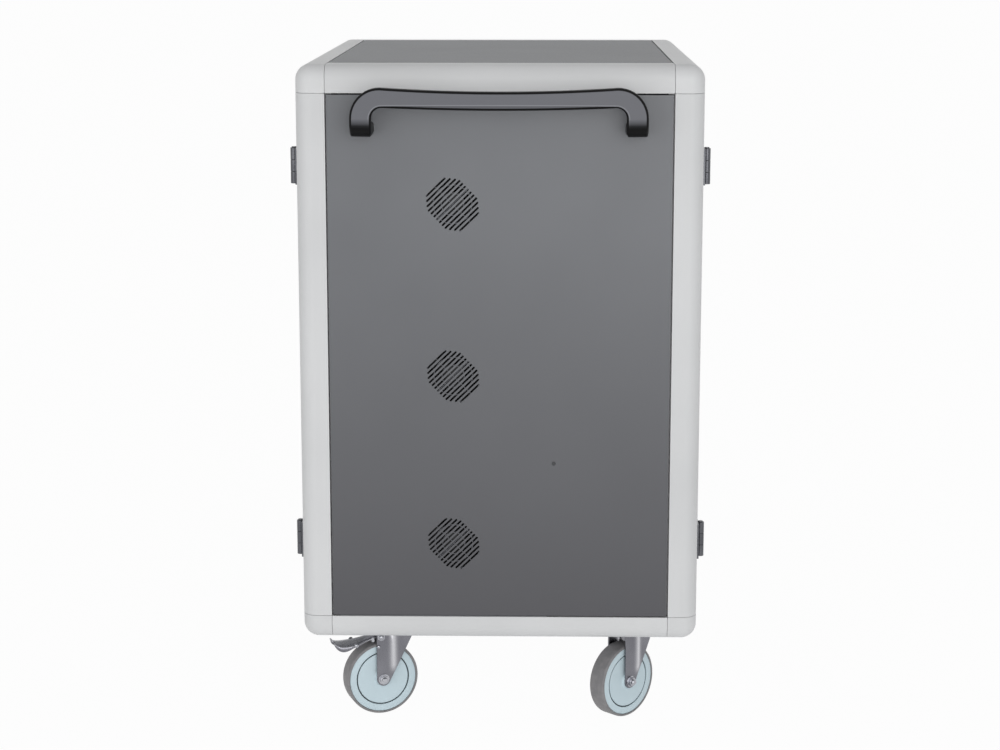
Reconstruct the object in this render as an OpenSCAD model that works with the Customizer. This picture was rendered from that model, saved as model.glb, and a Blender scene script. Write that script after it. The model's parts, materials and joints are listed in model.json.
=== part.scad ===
// Laptop charging cart: a sheet-metal cabinet in a rounded frame, on four swivel casters.
// Origin on the floor under the middle. -Y is the end with the fan grilles,
// -X the laptop side with the front doors, +X the charger side with the rear doors.

/* [Cabinet] */
// Width across the two door sides
body_w = 650; // [620:1:760]
// Length from end panel to end panel
body_l = 850; // [800:1:1000]
// Height of the body without the casters
body_h = 944; // [925:1:1100]
// Width of the posts and rails
profile_w = 48; // [46:1:58]
// Height of the four top rails
top_rail_h = 45; // [44:1:60]
// Height of the four bottom rails
bottom_rail_h = 40; // [34:1:50]
// Radius of the frame's outer edges
edge_r = 25; // [12:1:26]
// Wall of the extruded posts and rails
profile_wall = 2.5; // [1.5:0.1:3]
// Seam between a corner block and an extrusion
seam = 0.6; // [0.4:0.1:1.5]
// Length of the plugs that hold the extrusions
plug_l = 25; // [15:1:35]
// Gap round the panels and doors
panel_gap = 2.5; // [1.5:0.1:4]
// Thickness of the sheet metal
sheet_t = 1.5; // [1:0.1:2]
// Depth of the panels' folded edges
return_d = 12; // [8:1:15]

/* [Inside] */
// Space between the top level and the top rails
head_space = 20.5; // [10:0.5:40]
// Laptop slots on one level
slot_count = 8; // [4:1:10]
// Distance from the body's ends to the ends of a divider rack
rack_margin = 87; // [84:1:140]
// Thickness of a divider blade
blade_t = 4; // [2:0.5:8]
// Space over the divider blades
blade_gap = 71; // [50:1:120]
// Place of the partition from the middle
partition_x = 80; // [60:1:100]
// Height of the cable windows in the partition
window_h = 36; // [20:1:40]
// Height of a charger tray's lip
tray_lip = 40; // [25:1:60]
// Distance from the ends of a rack to the ends of a socket strip
strip_inset = 8; // [2:1:20]
// Height of a socket strip
strip_h = 40; // [36:1:42]
// Depth of a socket strip
strip_d = 36; // [24:1:50]
// Length of the control box
control_l = 300; // [200:1:400]
// Depth of the control box
control_d = 110; // [80:1:150]
// Height of the control box
control_h = 56; // [50:1:58]

/* [Grilles and fans] */
// Place of the grilles across the end panel
grille_x = -75; // [-100:1:-60]
// Height of the lowest grille's centre above the body's underside
grille_rise = 165; // [160:1:180]
// Slits in one grille
slit_count = 13; // [9:2:15]
// Distance from slit to slit
slit_pitch = 6.4; // [5:0.1:7]
// Width of a slit
slit_w = 3.2; // [2:0.1:4]
// Length of the middle slits
slit_long = 71.5; // [60:0.5:80]
// Length of the outermost slits
slit_short = 43.5; // [35:0.5:50]
// Growth in length from each slit to the next
slit_step = 10.5; // [6:0.5:14]
// Slope of the slits in degrees
slit_tilt = 44; // [30:1:60]
// Side of a fan frame
fan_size = 120; // [118:1:124]
// Depth of a fan frame
fan_d = 25; // [25:1:32]
// Radius of a fan's duct
duct_r = 55; // [53:0.5:56]
// Thickness of a fan guard
guard_t = 1.6; // [1:0.1:2.5]

/* [Doors and hinges] */
// Thickness of a door
door_t = 18; // [16:1:20]
// Gap between the two leaves of a pair
door_meet = 3; // [2:0.5:6]
// Height of a hinge
hinge_h = 58; // [50:1:70]
// Distance from the body's top down to the upper hinges
hinge_drop = 164; // [130:1:200]
// Height of the lower hinges above the body's underside
hinge_rise = 162; // [140:1:200]
// Width of a hinge leaf
leaf_w = 20; // [14:1:20]
// Thickness of a hinge leaf
leaf_t = 3; // [2:0.5:4]
// Radius of a hinge knuckle
knuckle_r = 6; // [5:0.5:7]
// Radius of a hinge pin
hinge_pin_r = 2.5; // [2:0.1:3]

/* [Door locks] */
// Place of the lock from the door's free edge
lock_inset = 38.5; // [34:0.5:60]
// Width of the lock plate
lock_plate_w = 42; // [36:1:50]
// Height of the lock plate
lock_plate_h = 110; // [90:1:140]
// Length of the lever from its axis
lever_l = 105; // [80:1:130]
// Thickness of the lever
lever_t = 11; // [8:1:14]
// Width of the lever
lever_w = 18; // [14:1:24]
// Radius of the lock spindle
spindle_r = 5; // [4:0.1:5.3]
// Radius on which the cam carries the rod pins
cam_r = 12; // [11:0.5:13]
// Radius of the locking rods
rod_r = 4; // [3:0.1:4.5]

/* [Push handles] */
// Distance from the handle's legs to the side edges of the end panel
handle_margin = 41.5; // [30:0.5:60]
// Distance from the body's top down to the top of the grip
handle_drop = 32; // [30:1:70]
// Height from the feet to the top of the grip
handle_h = 78; // [72:1:100]
// Height of the grip as seen from the end
grip_h = 27; // [20:1:32]
// Width of a leg as seen from the end
leg_w = 34; // [26:1:40]
// Thickness of the bow from front to back
handle_t = 21; // [16:1:24]
// Reach of the handle's ends from the panel
handle_reach = 64; // [58:1:80]
// How far the middle of the grip bows out beyond its ends
handle_bow = 18; // [10:1:30]
// Outer radius of the grip's bends
handle_r = 48; // [40:1:50]
// Radius of the handle screws
screw_r = 3; // [2.5:0.1:4]

/* [Casters] */
// Diameter of the wheels
wheel_d = 125; // [110:1:150]
// Height of a caster above its wheel
caster_head = 35; // [30:1:60]
// Width of the tread
wheel_w = 32; // [28:1:36]
// Thickness of the tread
tread_t = 4.5; // [3:0.5:8]
// Distance from the swivel axis back to the wheel's axle
trail = 22; // [18:1:30]
// Distance from the body's laptop side to the swivel axis
caster_front_in = 140; // [110:1:150]
// Distance from the body's charger side to the swivel axis
caster_rear_in = 104; // [102:1:135]
// Distance from the body's ends to the swivel axis
caster_end_in = 112; // [91:1:175]
// Radius of the axle bolts
axle_r = 5; // [4:0.1:6]
// Thickness of the pressed fork
fork_t = 3; // [2.5:0.1:4]
// Radius of the kingpin
kingpin_r = 6; // [5:0.1:8]

/* [Fits] */
// Radial clearance of a shaft in its bore
shaft_fit = 0.05; // [0.03:0.01:0.08]
// Clearance between parts that slide or plug together
slide_fit = 0.3; // [0.3:0.05:0.4]

/* [Hidden] */
$fn = 64;
eps = 0.01;
steel_gray = "#b9bcc0";
frame_gray = "#cfd0d2";
panel_gray = "#77797c";
dark_plastic = "#4b4c50";
black_steel = "#35363a";
level_count = 3;
levels = [0 : level_count - 1];

ride_h = wheel_d + caster_head;
z_top = ride_h + body_h;
z_sill = ride_h + bottom_rail_h;
z_head = z_top - top_rail_h;
inner_x = body_w / 2 - profile_w;
inner_y = body_l / 2 - profile_w;
panel_w = 2 * inner_x - 2 * panel_gap;
panel_h = z_head - z_sill - 2 * panel_gap;
z_panel = z_sill + panel_gap;
end_face = body_l / 2 - sheet_t;

// Lips on the posts behind the panels and doors
lip_w = 10;
lip_t = 2;
lip_gap = 2;
ledge_w = 12;

leaf_l = inner_y - panel_gap - door_meet / 2;
door_back = body_w / 2 - door_t;
shelf_gap = 7;
shelf_x = door_back - shelf_gap;
lock_y = door_meet / 2 + lock_inset;
lock_z = (z_sill + z_head) / 2;

// Floors, walls and fittings inside
level_pitch = (z_head - z_sill - sheet_t - head_space) / level_count;
base_t = 2.5;
shelf_lip = 18;
flange_w = 16;
bay_wall = partition_x - sheet_t / 2;
charger_wall = partition_x + sheet_t / 2;
rivet_rise = 300;
rivet_z = ride_h + rivet_rise;
rivet_r = 2;
rivet_head = 0.8;

// Divider racks and the socket strips over the adapters
rack_t = 3;
blade_h = level_pitch - rack_t - blade_gap;
rack_l = body_l - 2 * rack_margin;
rack_setback = 8;
rack_front = shelf_x - rack_setback;
rack_wall_gap = 4;
rack_d = rack_front + bay_wall - rack_wall_gap;
slot_pitch = (rack_l - blade_t) / slot_count;
blade_r = 60;
strip_l = rack_l - 2 * strip_inset;
strip_head = 8;
strip_z = level_pitch - strip_head - strip_h;
strip_gap = 14;
window_z = strip_z - strip_gap - window_h;

// Control box, its switch, and the inlet in the far end panel
control_gap = 3;
control_z = z_top - sheet_t - control_gap - control_h;
switch_inset = 40;
switch_y = switch_inset - control_l / 2;
switch_in = 5;
switch_tilt = 7;
inlet_inset = 75;
inlet_x = inner_x - inlet_inset;
inlet_rise = 60;
inlet_z = z_panel + inlet_rise;
inlet_w = 30;
inlet_h = 22;

// Fan screws sit on a square of this half side
fan_screw = 52.5;
rotor_r = duct_r - 3;
rotor_axle_r = 2;

// Hinge axis outside the door's face, with the knuckles in three parts
hinge_off = knuckle_r + 0.5;
hinge_y = inner_y - panel_gap / 2;
knuckle_gap = 0.5;
knuckle_cut = hinge_h / 6;
relief_r = knuckle_r + 1.2;
hinge_heights = [ride_h + hinge_rise, z_top - hinge_drop];

// Lock: lever outside, cam and rods inside the door
lock_plate_t = 4;
lever_x = body_w / 2 + lock_plate_t + slide_fit;
cam_t = 3;
cam_out = door_back - 0.5;
cam_tongue = lock_inset + 16;
cam_pin_r = 2;
cam_rise = cam_r * sin(45);
rod_x = body_w / 2 - door_t / 2;
rod_tab_w = cam_r + cam_pin_r + 3 - spindle_r - 1;
rod_y = spindle_r + 1 + rod_tab_w / 2;
rod_l = panel_h / 2 - 0.5;

// Push handle
handle_w = panel_w - 2 * handle_margin;
foot_z = z_top - handle_drop - handle_h;
handle_out = handle_reach + handle_bow;
bow_r = (pow(handle_w / 2, 2) + pow(handle_bow, 2)) / (2 * handle_bow);
bow_span = 3 * asin(handle_w / 2 / bow_r);
bend_r = handle_t + 6;
grip_r = 6;
leg_x = handle_w / 2 - leg_w / 2;

// Caster, drawn with the swivel axis at the origin and the wheel towards -X
caster_front_x = body_w / 2 - caster_front_in;
caster_rear_x = body_w / 2 - caster_rear_in;
caster_y = body_l / 2 - caster_end_in;
wheel_r = wheel_d / 2;
hub_r = wheel_r - tread_t;
boss_y = wheel_w / 2 + 2;
leg_in = boss_y + 0.4;
leg_out = leg_in + fork_t;
axle_eye = axle_r + 7;
axle_nut_r = 8;
axle_nut_h = 5;
plate_t = 3.5;
race_h = 6;
race_z = ride_h - plate_t - race_h;
crown_top = race_z - 1;
crown_z = crown_top - fork_t;
crown_back = trail + axle_eye;
crown_front = 30;
bolt_x = 40;
bolt_y = 28;
bolt_r = 4;
bolt_hole_r = bolt_r + 0.2;
bolt_head_r = 7.5;
bolt_head_h = 5;
bolt_nut_h = 6;

// Brake pedal, hung between the fork's crown and the tread
pedal_w = wheel_w + 8;
pedal_l = 80;
pedal_t = 2.5;
pedal_tilt = 14;
cup_x = 32;
cup_d = 12;
pivot_r = 3;
sleeve_over = 3.5;
sleeve_under = 6;
sleeve_r = (crown_z - wheel_d - sleeve_over - sleeve_under) / 2;
pivot_x = -trail - 4;
pivot_z = crown_z - sleeve_over - sleeve_r;
shoe_gap = 5;
shoe_d = pivot_z - wheel_d - shoe_gap;

// Shared shapes

module quarter_disc(r) {
    intersection() {
        circle(r);
        square(r);
    }
}

// Rectangle a by b whose corner at the origin is rounded, drawn in by inset all round
module outline(a, b, inset = 0) {
    translate([edge_r, inset]) square([a - edge_r - inset, b - 2 * inset]);
    translate([inset, edge_r]) square([edge_r - inset, b - edge_r - inset]);
    translate([edge_r, edge_r]) rotate(180) quarter_disc(edge_r - inset);
}

module hollow_outline(a, b) {
    difference() {
        outline(a, b);
        outline(a, b, profile_wall);
    }
}

// Extrusions of a flat shape whose second axis is up
module run_x(length) {
    rotate([90, 0, 90]) linear_extrude(length) children();
}

module run_y(length) {
    translate([0, length, 0]) rotate([90, 0, 0]) linear_extrude(length) children();
}

// Shape drawn at the near front corner, put at one corner of the cart
module at_corner(side_x, side_y) {
    mirror([side_x > 0 ? 1 : 0, 0, 0]) mirror([0, side_y > 0 ? 1 : 0, 0]) children();
}

module at_corners() {
    for (side_x = [-1, 1], side_y = [-1, 1]) at_corner(side_x, side_y) children();
}

module centred(size) {
    translate([-size.x / 2, -size.y / 2, 0]) cube(size);
}

// Bodywork

module post_section() {
    hollow_outline(profile_w, profile_w);
    translate([door_t + lip_gap, profile_w]) square([lip_t, lip_w]);
    translate([profile_w, return_d + lip_gap]) square([lip_w, lip_t]);
}

module posts() {
    color(frame_gray) at_corners()
        translate([-body_w / 2, -body_l / 2, z_sill + seam])
            linear_extrude(z_head - z_sill - 2 * seam) post_section();
}

// Moulded corner with its outer corner at the origin and three plugs
module corner_block(h) {
    plug = profile_wall + slide_fit;
    translate([edge_r, 0, 0]) run_x(profile_w - edge_r) outline(profile_w, h);
    translate([0, edge_r, 0]) run_y(profile_w - edge_r) outline(profile_w, h);
    translate([edge_r, edge_r, 0]) rotate(180) rotate_extrude(angle = 90) {
        translate([0, edge_r]) square([edge_r, h - edge_r]);
        translate([0, edge_r]) mirror([0, 1]) quarter_disc(edge_r);
    }
    translate([profile_w, 0, 0]) run_x(plug_l) outline(profile_w, h, plug);
    translate([0, profile_w, 0]) run_y(plug_l) outline(profile_w, h, plug);
    translate([0, 0, h]) linear_extrude(plug_l) outline(profile_w, profile_w, plug);
}

module top_corners() {
    color(frame_gray) at_corners()
        translate([-body_w / 2, -body_l / 2, z_top]) mirror([0, 0, 1]) corner_block(top_rail_h);
}

module bottom_corners() {
    color(frame_gray) at_corners()
        translate([-body_w / 2, -body_l / 2, ride_h]) corner_block(bottom_rail_h);
}

module side_rail(h) {
    translate([-body_w / 2, -inner_y + seam, 0])
        run_y(2 * (inner_y - seam)) hollow_outline(profile_w, h);
}

module end_rail(h) {
    translate([-inner_x + seam, -body_l / 2, 0])
        run_x(2 * (inner_x - seam)) hollow_outline(profile_w, h);
}

// Hole in a rail for the end of a locking rod
module rod_hole(side, z) {
    translate([-rod_x, side * rod_y - lock_y, z - 1])
        cylinder(r = rod_r + 1, h = profile_wall + 2);
}

module top_rails() {
    color(frame_gray) difference() {
        for (side = [-1, 1]) {
            at_corner(side, -1) translate([0, 0, z_top]) mirror([0, 0, 1]) {
                side_rail(top_rail_h);
                translate([-inner_x, -inner_y + seam, return_d])
                    cube([ledge_w, 2 * (inner_y - seam), profile_wall]);
            }
            at_corner(-1, side) translate([0, 0, z_top]) mirror([0, 0, 1]) end_rail(top_rail_h);
        }
        rod_hole(1, z_head);
    }
}

module bottom_rails() {
    color(frame_gray) difference() {
        for (side = [-1, 1]) {
            at_corner(side, -1) translate([0, 0, ride_h]) side_rail(bottom_rail_h);
            at_corner(-1, side) translate([0, 0, ride_h]) end_rail(bottom_rail_h);
        }
        rod_hole(-1, z_sill - profile_wall);
    }
}

module top_panel() {
    color(panel_gray) difference() {
        translate([0, 0, z_top - return_d]) centred([panel_w, 2 * (inner_y - panel_gap), return_d]);
        translate([0, 0, z_top - return_d - sheet_t])
            centred([panel_w - 2 * sheet_t, 2 * (inner_y - panel_gap - sheet_t), return_d]);
    }
}

module base_pan() {
    color(steel_gray) difference() {
        translate([0, 0, ride_h]) centred([2 * inner_x, 2 * inner_y, bottom_rail_h]);
        translate([0, 0, ride_h + base_t])
            centred([2 * (inner_x - sheet_t), 2 * (inner_y - sheet_t), bottom_rail_h]);
        at_casters() at_bolts()
            translate([0, 0, ride_h - 1]) cylinder(r = bolt_hole_r, h = base_t + 2);
    }
}

function slit_length(i) =
    min(slit_long, slit_short + slit_step * min(i, slit_count - 1 - i));

module grille() {
    rotate(slit_tilt) for (i = [0 : slit_count - 1])
        translate([0, (i - (slit_count - 1) / 2) * slit_pitch]) {
            square([slit_length(i) - slit_w, slit_w], center = true);
            for (side = [-1, 1])
                translate([side * (slit_length(i) - slit_w) / 2, 0]) circle(slit_w / 2);
        }
}

function fan_z(i) = ride_h + grille_rise + i * level_pitch;

module end_panel() {
    difference() {
        translate([-panel_w / 2, -body_l / 2, z_panel]) cube([panel_w, return_d, panel_h]);
        translate([-panel_w / 2 + sheet_t, -end_face, z_panel + sheet_t])
            cube([panel_w - 2 * sheet_t, return_d, panel_h - 2 * sheet_t]);
        for (i = levels)
            translate([grille_x, 1 - end_face, fan_z(i)])
                rotate([90, 0, 0]) linear_extrude(sheet_t + 2) grille();
        for (side = [-1, 1])
            translate([side * leg_x, 1 - end_face, foot_z + handle_t / 2])
                rotate([90, 0, 0]) cylinder(r = screw_r + 0.2, h = sheet_t + 2);
        translate([partition_x + flange_w / 2, 1 - end_face, rivet_z])
            rotate([90, 0, 0]) cylinder(r = rivet_r + shaft_fit, h = sheet_t + 2);
    }
}

module near_end_panel() {
    color(panel_gray) end_panel();
}

module far_end_panel() {
    color(panel_gray) difference() {
        mirror([0, 1, 0]) end_panel();
        translate([inlet_x, end_face + sheet_t / 2, inlet_z])
            cube([inlet_w, sheet_t + 2, inlet_h] + [slide_fit, 0, slide_fit] * 2, center = true);
    }
}

// Inside

function level_z(i) = z_sill + sheet_t + i * level_pitch;

module partition() {
    color(steel_gray) {
        difference() {
            translate([bay_wall, 0, 0]) run_x(sheet_t) {
                wall_strip(inner_y - sheet_t, ride_h + base_t, z_sill);
                wall_strip(inner_y, z_sill, z_top - return_d);
                wall_strip(end_face, z_panel + sheet_t, z_panel + panel_h - sheet_t);
                wall_strip(inner_y - panel_gap - sheet_t, z_top - return_d, z_top - sheet_t);
            }
            for (i = levels)
                translate([bay_wall - 1, -rack_l / 2, level_z(i) + window_z])
                    cube([sheet_t + 2, rack_l, window_h]);
        }
        for (side = [-1, 1]) mirror([0, side > 0 ? 1 : 0, 0]) partition_flange();
    }
}

module wall_strip(half_w, z0, z1) {
    translate([-half_w, z0]) square([2 * half_w, z1 - z0]);
}

module partition_flange() {
    difference() {
        translate([charger_wall - eps, -end_face, z_panel + sheet_t])
            cube([flange_w, sheet_t, panel_h - 2 * sheet_t]);
        translate([partition_x + flange_w / 2, 2 - end_face, rivet_z])
            rotate([90, 0, 0]) cylinder(r = rivet_r + shaft_fit, h = sheet_t + 2);
    }
    translate([partition_x + flange_w / 2, 0, rivet_z]) rotate([90, 0, 0]) {
        translate([0, 0, end_face - sheet_t - rivet_head]) {
            cylinder(r = rivet_r, h = 2 * sheet_t + rivet_head);
            cylinder(r = rivet_r + 1, h = rivet_head - shaft_fit);
        }
        translate([0, 0, body_l / 2]) cylinder(r = rivet_r + 1, h = rivet_head);
    }
}

module shelves() {
    tongue_x = inner_x - lip_w - 2;
    color(steel_gray) for (i = levels) translate([0, 0, level_z(i) - sheet_t]) {
        translate([-shelf_x, -inner_y, 0]) cube([shelf_x + bay_wall, 2 * inner_y, sheet_t]);
        translate([-tongue_x, -end_face, 0])
            cube([tongue_x + bay_wall, 2 * end_face, sheet_t]);
        if (i > 0) {
            translate([-shelf_x, -inner_y, -shelf_lip])
                cube([sheet_t, 2 * inner_y, shelf_lip + eps]);
            for (side = [-1, 1]) mirror([0, side > 0 ? 1 : 0, 0])
                translate([-tongue_x, -end_face, -shelf_lip])
                    cube([tongue_x + bay_wall, sheet_t, shelf_lip + eps]);
        }
    }
}

module blade() {
    square([rack_d, blade_h - blade_r]);
    translate([blade_r, blade_h - blade_r]) {
        square([rack_d - blade_r, blade_r]);
        rotate(90) quarter_disc(blade_r);
    }
}

module divider_rack(i) {
    color(dark_plastic) translate([-rack_front, -rack_l / 2, level_z(i)]) {
        cube([rack_d, rack_l, rack_t]);
        for (j = [0 : slot_count])
            translate([0, j * slot_pitch, rack_t - eps]) run_y(blade_t) blade();
    }
}

module lower_divider_rack() { divider_rack(0); }

module middle_divider_rack() { divider_rack(1); }

module upper_divider_rack() { divider_rack(2); }

module charger_trays() {
    tray_d = shelf_x - charger_wall;
    color(steel_gray) for (i = levels)
        translate([charger_wall, -inner_y, level_z(i) - sheet_t]) difference() {
            cube([tray_d, 2 * inner_y, tray_lip + sheet_t]);
            translate([-1, sheet_t, sheet_t])
                cube([tray_d + 1 - sheet_t, 2 * (inner_y - sheet_t), tray_lip + 1]);
        }
}

module socket() {
    cylinder(r = 15, h = 4 + eps);
    for (a = [90, 210, 330]) rotate(a) translate([7, 0, -10]) cylinder(r = 2.4, h = 11);
}

module socket_strips() {
    color("white") for (i = levels)
        translate([charger_wall, 0, level_z(i) + strip_z]) difference() {
            translate([0, -strip_l / 2, 0]) cube([strip_d, strip_l, strip_h]);
            for (j = [0 : slot_count - 1])
                translate([strip_d - 4, (j + 0.5) * slot_pitch - rack_l / 2, strip_h / 2])
                    rotate([0, 90, 0]) socket();
        }
}

module control_box() {
    color(dark_plastic) difference() {
        translate([charger_wall, -control_l / 2, control_z])
            cube([control_d, control_l, control_h]);
        translate([charger_wall + control_d - 11, switch_y - 7, control_z + control_h / 2 - 12])
            cube([12, 14, 24]);
        translate([charger_wall + control_d - switch_in, switch_y, control_z + control_h / 2])
            rotate([90, 0, 0]) cylinder(r = 1.5 + shaft_fit, h = 20, center = true);
    }
}

module power_switch() {
    color("black")
        translate([charger_wall + control_d - switch_in, switch_y, control_z + control_h / 2])
            rotate([0, -switch_tilt, 0]) rotate([90, 0, 0]) {
                linear_extrude(13, center = true)
                    polygon([[-4, -8], [4, -10.5], [2.5, 0], [4, 10.5], [-4, 8]]);
                cylinder(r = 1.5, h = 19, center = true);
            }
}

module power_inlet() {
    color("black") translate([inlet_x, body_l / 2, inlet_z]) difference() {
        union() {
            translate([-inlet_w / 2 - 10, 0, -inlet_h / 2 - 5])
                cube([inlet_w + 20, 3, inlet_h + 10]);
            translate([-inlet_w / 2, -28, -inlet_h / 2]) cube([inlet_w, 28 + eps, inlet_h]);
        }
        difference() {
            translate([-12, -14, -8.5]) cube([24, 18, 17]);
            for (x = [-7, 0, 7])
                translate([x - 1, -15, (x == 0 ? 2 : -1) - 3]) cube([2, 13, 6]);
        }
    }
}

// Fans

module at_fan(i) {
    translate([grille_x, -end_face, fan_z(i)]) rotate([-90, 0, 0]) children();
}

module ring(r, w) {
    difference() {
        circle(r + w / 2);
        circle(r - w / 2);
    }
}

module fan_guards() {
    color("silver") for (i = levels) at_fan(i) linear_extrude(guard_t) difference() {
        union() {
            for (k = [0 : 3]) ring(duct_r + 2 - k * 13, 2);
            for (a = [45, 135]) rotate(a)
                square([2 * fan_screw * sqrt(2), 2], center = true);
            for (x = [-1, 1], y = [-1, 1]) translate([x, y] * fan_screw) circle(4.5);
        }
        for (x = [-1, 1], y = [-1, 1]) translate([x, y] * fan_screw) circle(2.2);
    }
}

module fan_frames() {
    boss_z = guard_t + fan_d - 3;
    color("black") for (i = levels) at_fan(i) {
        difference() {
            translate([0, 0, guard_t]) centred([fan_size, fan_size, fan_d]);
            translate([0, 0, guard_t - 1]) cylinder(r = duct_r, h = fan_d + 2);
            for (x = [-1, 1], y = [-1, 1])
                translate([x * fan_screw, y * fan_screw, guard_t - 1])
                    cylinder(r = 2.2, h = fan_d + 2);
        }
        translate([0, 0, boss_z]) {
            cylinder(r = 19, h = 3);
            for (a = [0, 90]) rotate(a)
                translate([-duct_r - 1, -2, 0]) cube([2 * duct_r + 2, 4, 3]);
        }
        translate([0, 0, guard_t + 7]) cylinder(r = rotor_axle_r, h = fan_d - 9);
    }
}

module fan_rotor(i) {
    back_z = guard_t + fan_d - 4;
    blade_w = 18;
    color("black") at_fan(i) difference() {
        union() {
            translate([0, 0, guard_t + 3]) cylinder(r = 20, h = fan_d - 7);
            for (k = [0 : 6]) rotate(k * 360 / 7)
                translate([18, 0, guard_t + fan_d / 2 - 0.5]) rotate([35, 0, 0])
                    translate([0, -0.9, -blade_w / 2]) cube([rotor_r - 19, 1.8, blade_w]);
        }
        translate([0, 0, guard_t + 6]) cylinder(r = rotor_axle_r + shaft_fit, h = back_z);
    }
}

module lower_fan_rotor() { fan_rotor(0); }

module middle_fan_rotor() { fan_rotor(1); }

module upper_fan_rotor() { fan_rotor(2); }

// Push handles

module arch(w, h, r) {
    translate([-w / 2, 0]) square([w, h - r]);
    translate([-w / 2 + r, h - r]) square([w - 2 * r, r]);
    translate([w / 2 - r, h - r]) quarter_disc(r);
    translate([-w / 2 + r, h - r]) rotate(90) quarter_disc(r);
}

module handle_arch() {
    difference() {
        intersection() {
            arch(handle_w, handle_h, handle_r);
            translate([0, handle_h]) mirror([0, 1]) arch(handle_w, handle_h, 8);
        }
        translate([0, -1])
            arch(handle_w - 2 * leg_w, handle_h - grip_h + 1, handle_r - grip_h);
    }
}

// Side view of the bow: a foot, a bend and the upright grip
module handle_section() {
    square([handle_out - bend_r, handle_t]);
    translate([handle_out - bend_r, bend_r]) rotate(-90) difference() {
        quarter_disc(bend_r);
        circle(bend_r - handle_t);
    }
    translate([handle_out - handle_t, bend_r])
        square([handle_t, handle_h - bend_r - grip_r]);
    translate([handle_out - handle_t / 2, handle_h - grip_r]) {
        translate([grip_r - handle_t / 2, 0]) square([handle_t - 2 * grip_r, grip_r]);
        translate([handle_t / 2 - grip_r, 0]) quarter_disc(grip_r);
        translate([grip_r - handle_t / 2, 0]) rotate(90) quarter_disc(grip_r);
    }
}

module push_handle() {
    color(dark_plastic) difference() {
        intersection() {
            translate([0, bow_r - handle_out - body_l / 2, foot_z])
                rotate(-90 - bow_span / 2) rotate_extrude(angle = bow_span)
                    translate([bow_r - handle_out, 0]) handle_section();
            translate([0, -body_l / 2, foot_z])
                rotate([90, 0, 0]) linear_extrude(handle_out + 5) handle_arch();
        }
        for (side = [-1, 1])
            translate([side * leg_x, 1 - body_l / 2, foot_z + handle_t / 2])
                rotate([90, 0, 0]) cylinder(r = screw_r + shaft_fit, h = 17);
    }
}

module near_handle() { push_handle(); }

module far_handle() { mirror([0, 1, 0]) push_handle(); }

module handle_screws() {
    color("silver") at_corners()
        translate([-leg_x, -end_face, foot_z + handle_t / 2]) rotate([90, 0, 0]) {
            cylinder(r = screw_r, h = sheet_t + 15);
            translate([0, 0, -3.5]) cylinder(r = screw_r + 2.5, h = 3.5);
        }
}

// Doors and hinges, each drawn at the near front corner

module door_leaf() {
    difference() {
        translate([-body_w / 2, -inner_y + panel_gap, z_panel]) cube([door_t, leaf_l, panel_h]);
        translate([-body_w / 2 + sheet_t, -inner_y + panel_gap + sheet_t, z_panel + sheet_t])
            cube([door_t, leaf_l - 2 * sheet_t, panel_h - 2 * sheet_t]);
    }
}

module spindle_bore() {
    translate([-body_w / 2 - lock_plate_t - 1, -lock_y, lock_z])
        rotate([0, 90, 0]) cylinder(r = spindle_r + shaft_fit, h = lock_plate_t + sheet_t + 2);
}

module front_near_door() {
    color(panel_gray) difference() {
        door_leaf();
        spindle_bore();
        for (side = [-1, 1])
            translate([-rod_x, side * rod_y - lock_y, lock_z + side * panel_h / 2])
                cylinder(r = rod_r + slide_fit, h = 2 * sheet_t + 2, center = true);
    }
}

module front_far_door() { color(panel_gray) at_corner(-1, 1) door_leaf(); }

module rear_near_door() {
    color(panel_gray) at_corner(1, -1) difference() {
        door_leaf();
        spindle_bore();
    }
}

module rear_far_door() { color(panel_gray) at_corner(1, 1) door_leaf(); }

// Half a hinge on its axis: side -1 is on the post and carries the end knuckles
module hinge_half(side) {
    on_post = side < 0;
    own = on_post ? [[-3, -1], [1, 3]] : [[-1, 1]];
    other = on_post ? [[-1, 1]] : [[-3, -1], [1, 3]];
    difference() {
        union() {
            translate([hinge_off - leaf_t, 0, -hinge_h / 2]) mirror([0, on_post ? 1 : 0, 0])
                translate([0, panel_gap / 2, 0]) cube([leaf_t, leaf_w, hinge_h]);
            for (part = own) knuckle(part, knuckle_r, -knuckle_gap / 2);
            for (part = own) translate([hinge_off - leaf_t, 0, part.x * knuckle_cut])
                mirror([0, on_post ? 1 : 0, 0])
                    cube([leaf_t, panel_gap, (part.y - part.x) * knuckle_cut]);
        }
        for (part = other) knuckle(part, relief_r, knuckle_gap / 2);
        translate([0, 0, -hinge_h]) cylinder(r = hinge_pin_r + shaft_fit, h = 2 * hinge_h);
    }
}

module knuckle(part, r, grow) {
    translate([0, 0, part.x * knuckle_cut - grow])
        cylinder(r = r, h = (part.y - part.x) * knuckle_cut + 2 * grow);
}

module at_hinges() {
    for (z = hinge_heights) translate([-body_w / 2 - hinge_off, -hinge_y, z]) children();
}

module post_hinge_leaves() {
    color(black_steel) at_corners() at_hinges() hinge_half(-1);
}

module hinge_pins() {
    color("silver") at_corners() at_hinges() {
        translate([0, 0, -hinge_h / 2]) cylinder(r = hinge_pin_r, h = hinge_h);
        translate([0, 0, hinge_h / 2]) cylinder(r = hinge_pin_r + 1.5, h = 1.5);
    }
}

module door_hinge_leaves(side_x, side_y) {
    color(black_steel) at_corner(side_x, side_y) at_hinges() hinge_half(1);
}

module front_near_hinge_leaves() { door_hinge_leaves(-1, -1); }

module front_far_hinge_leaves() { door_hinge_leaves(-1, 1); }

module rear_near_hinge_leaves() { door_hinge_leaves(1, -1); }

module rear_far_hinge_leaves() { door_hinge_leaves(1, 1); }

// Door locks

module lock_plate() {
    color(black_steel) difference() {
        translate([-body_w / 2 - lock_plate_t, -lock_y - lock_plate_w / 2, lock_z - 0.7 * lock_plate_h])
            cube([lock_plate_t, lock_plate_w, lock_plate_h]);
        spindle_bore();
    }
}

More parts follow.
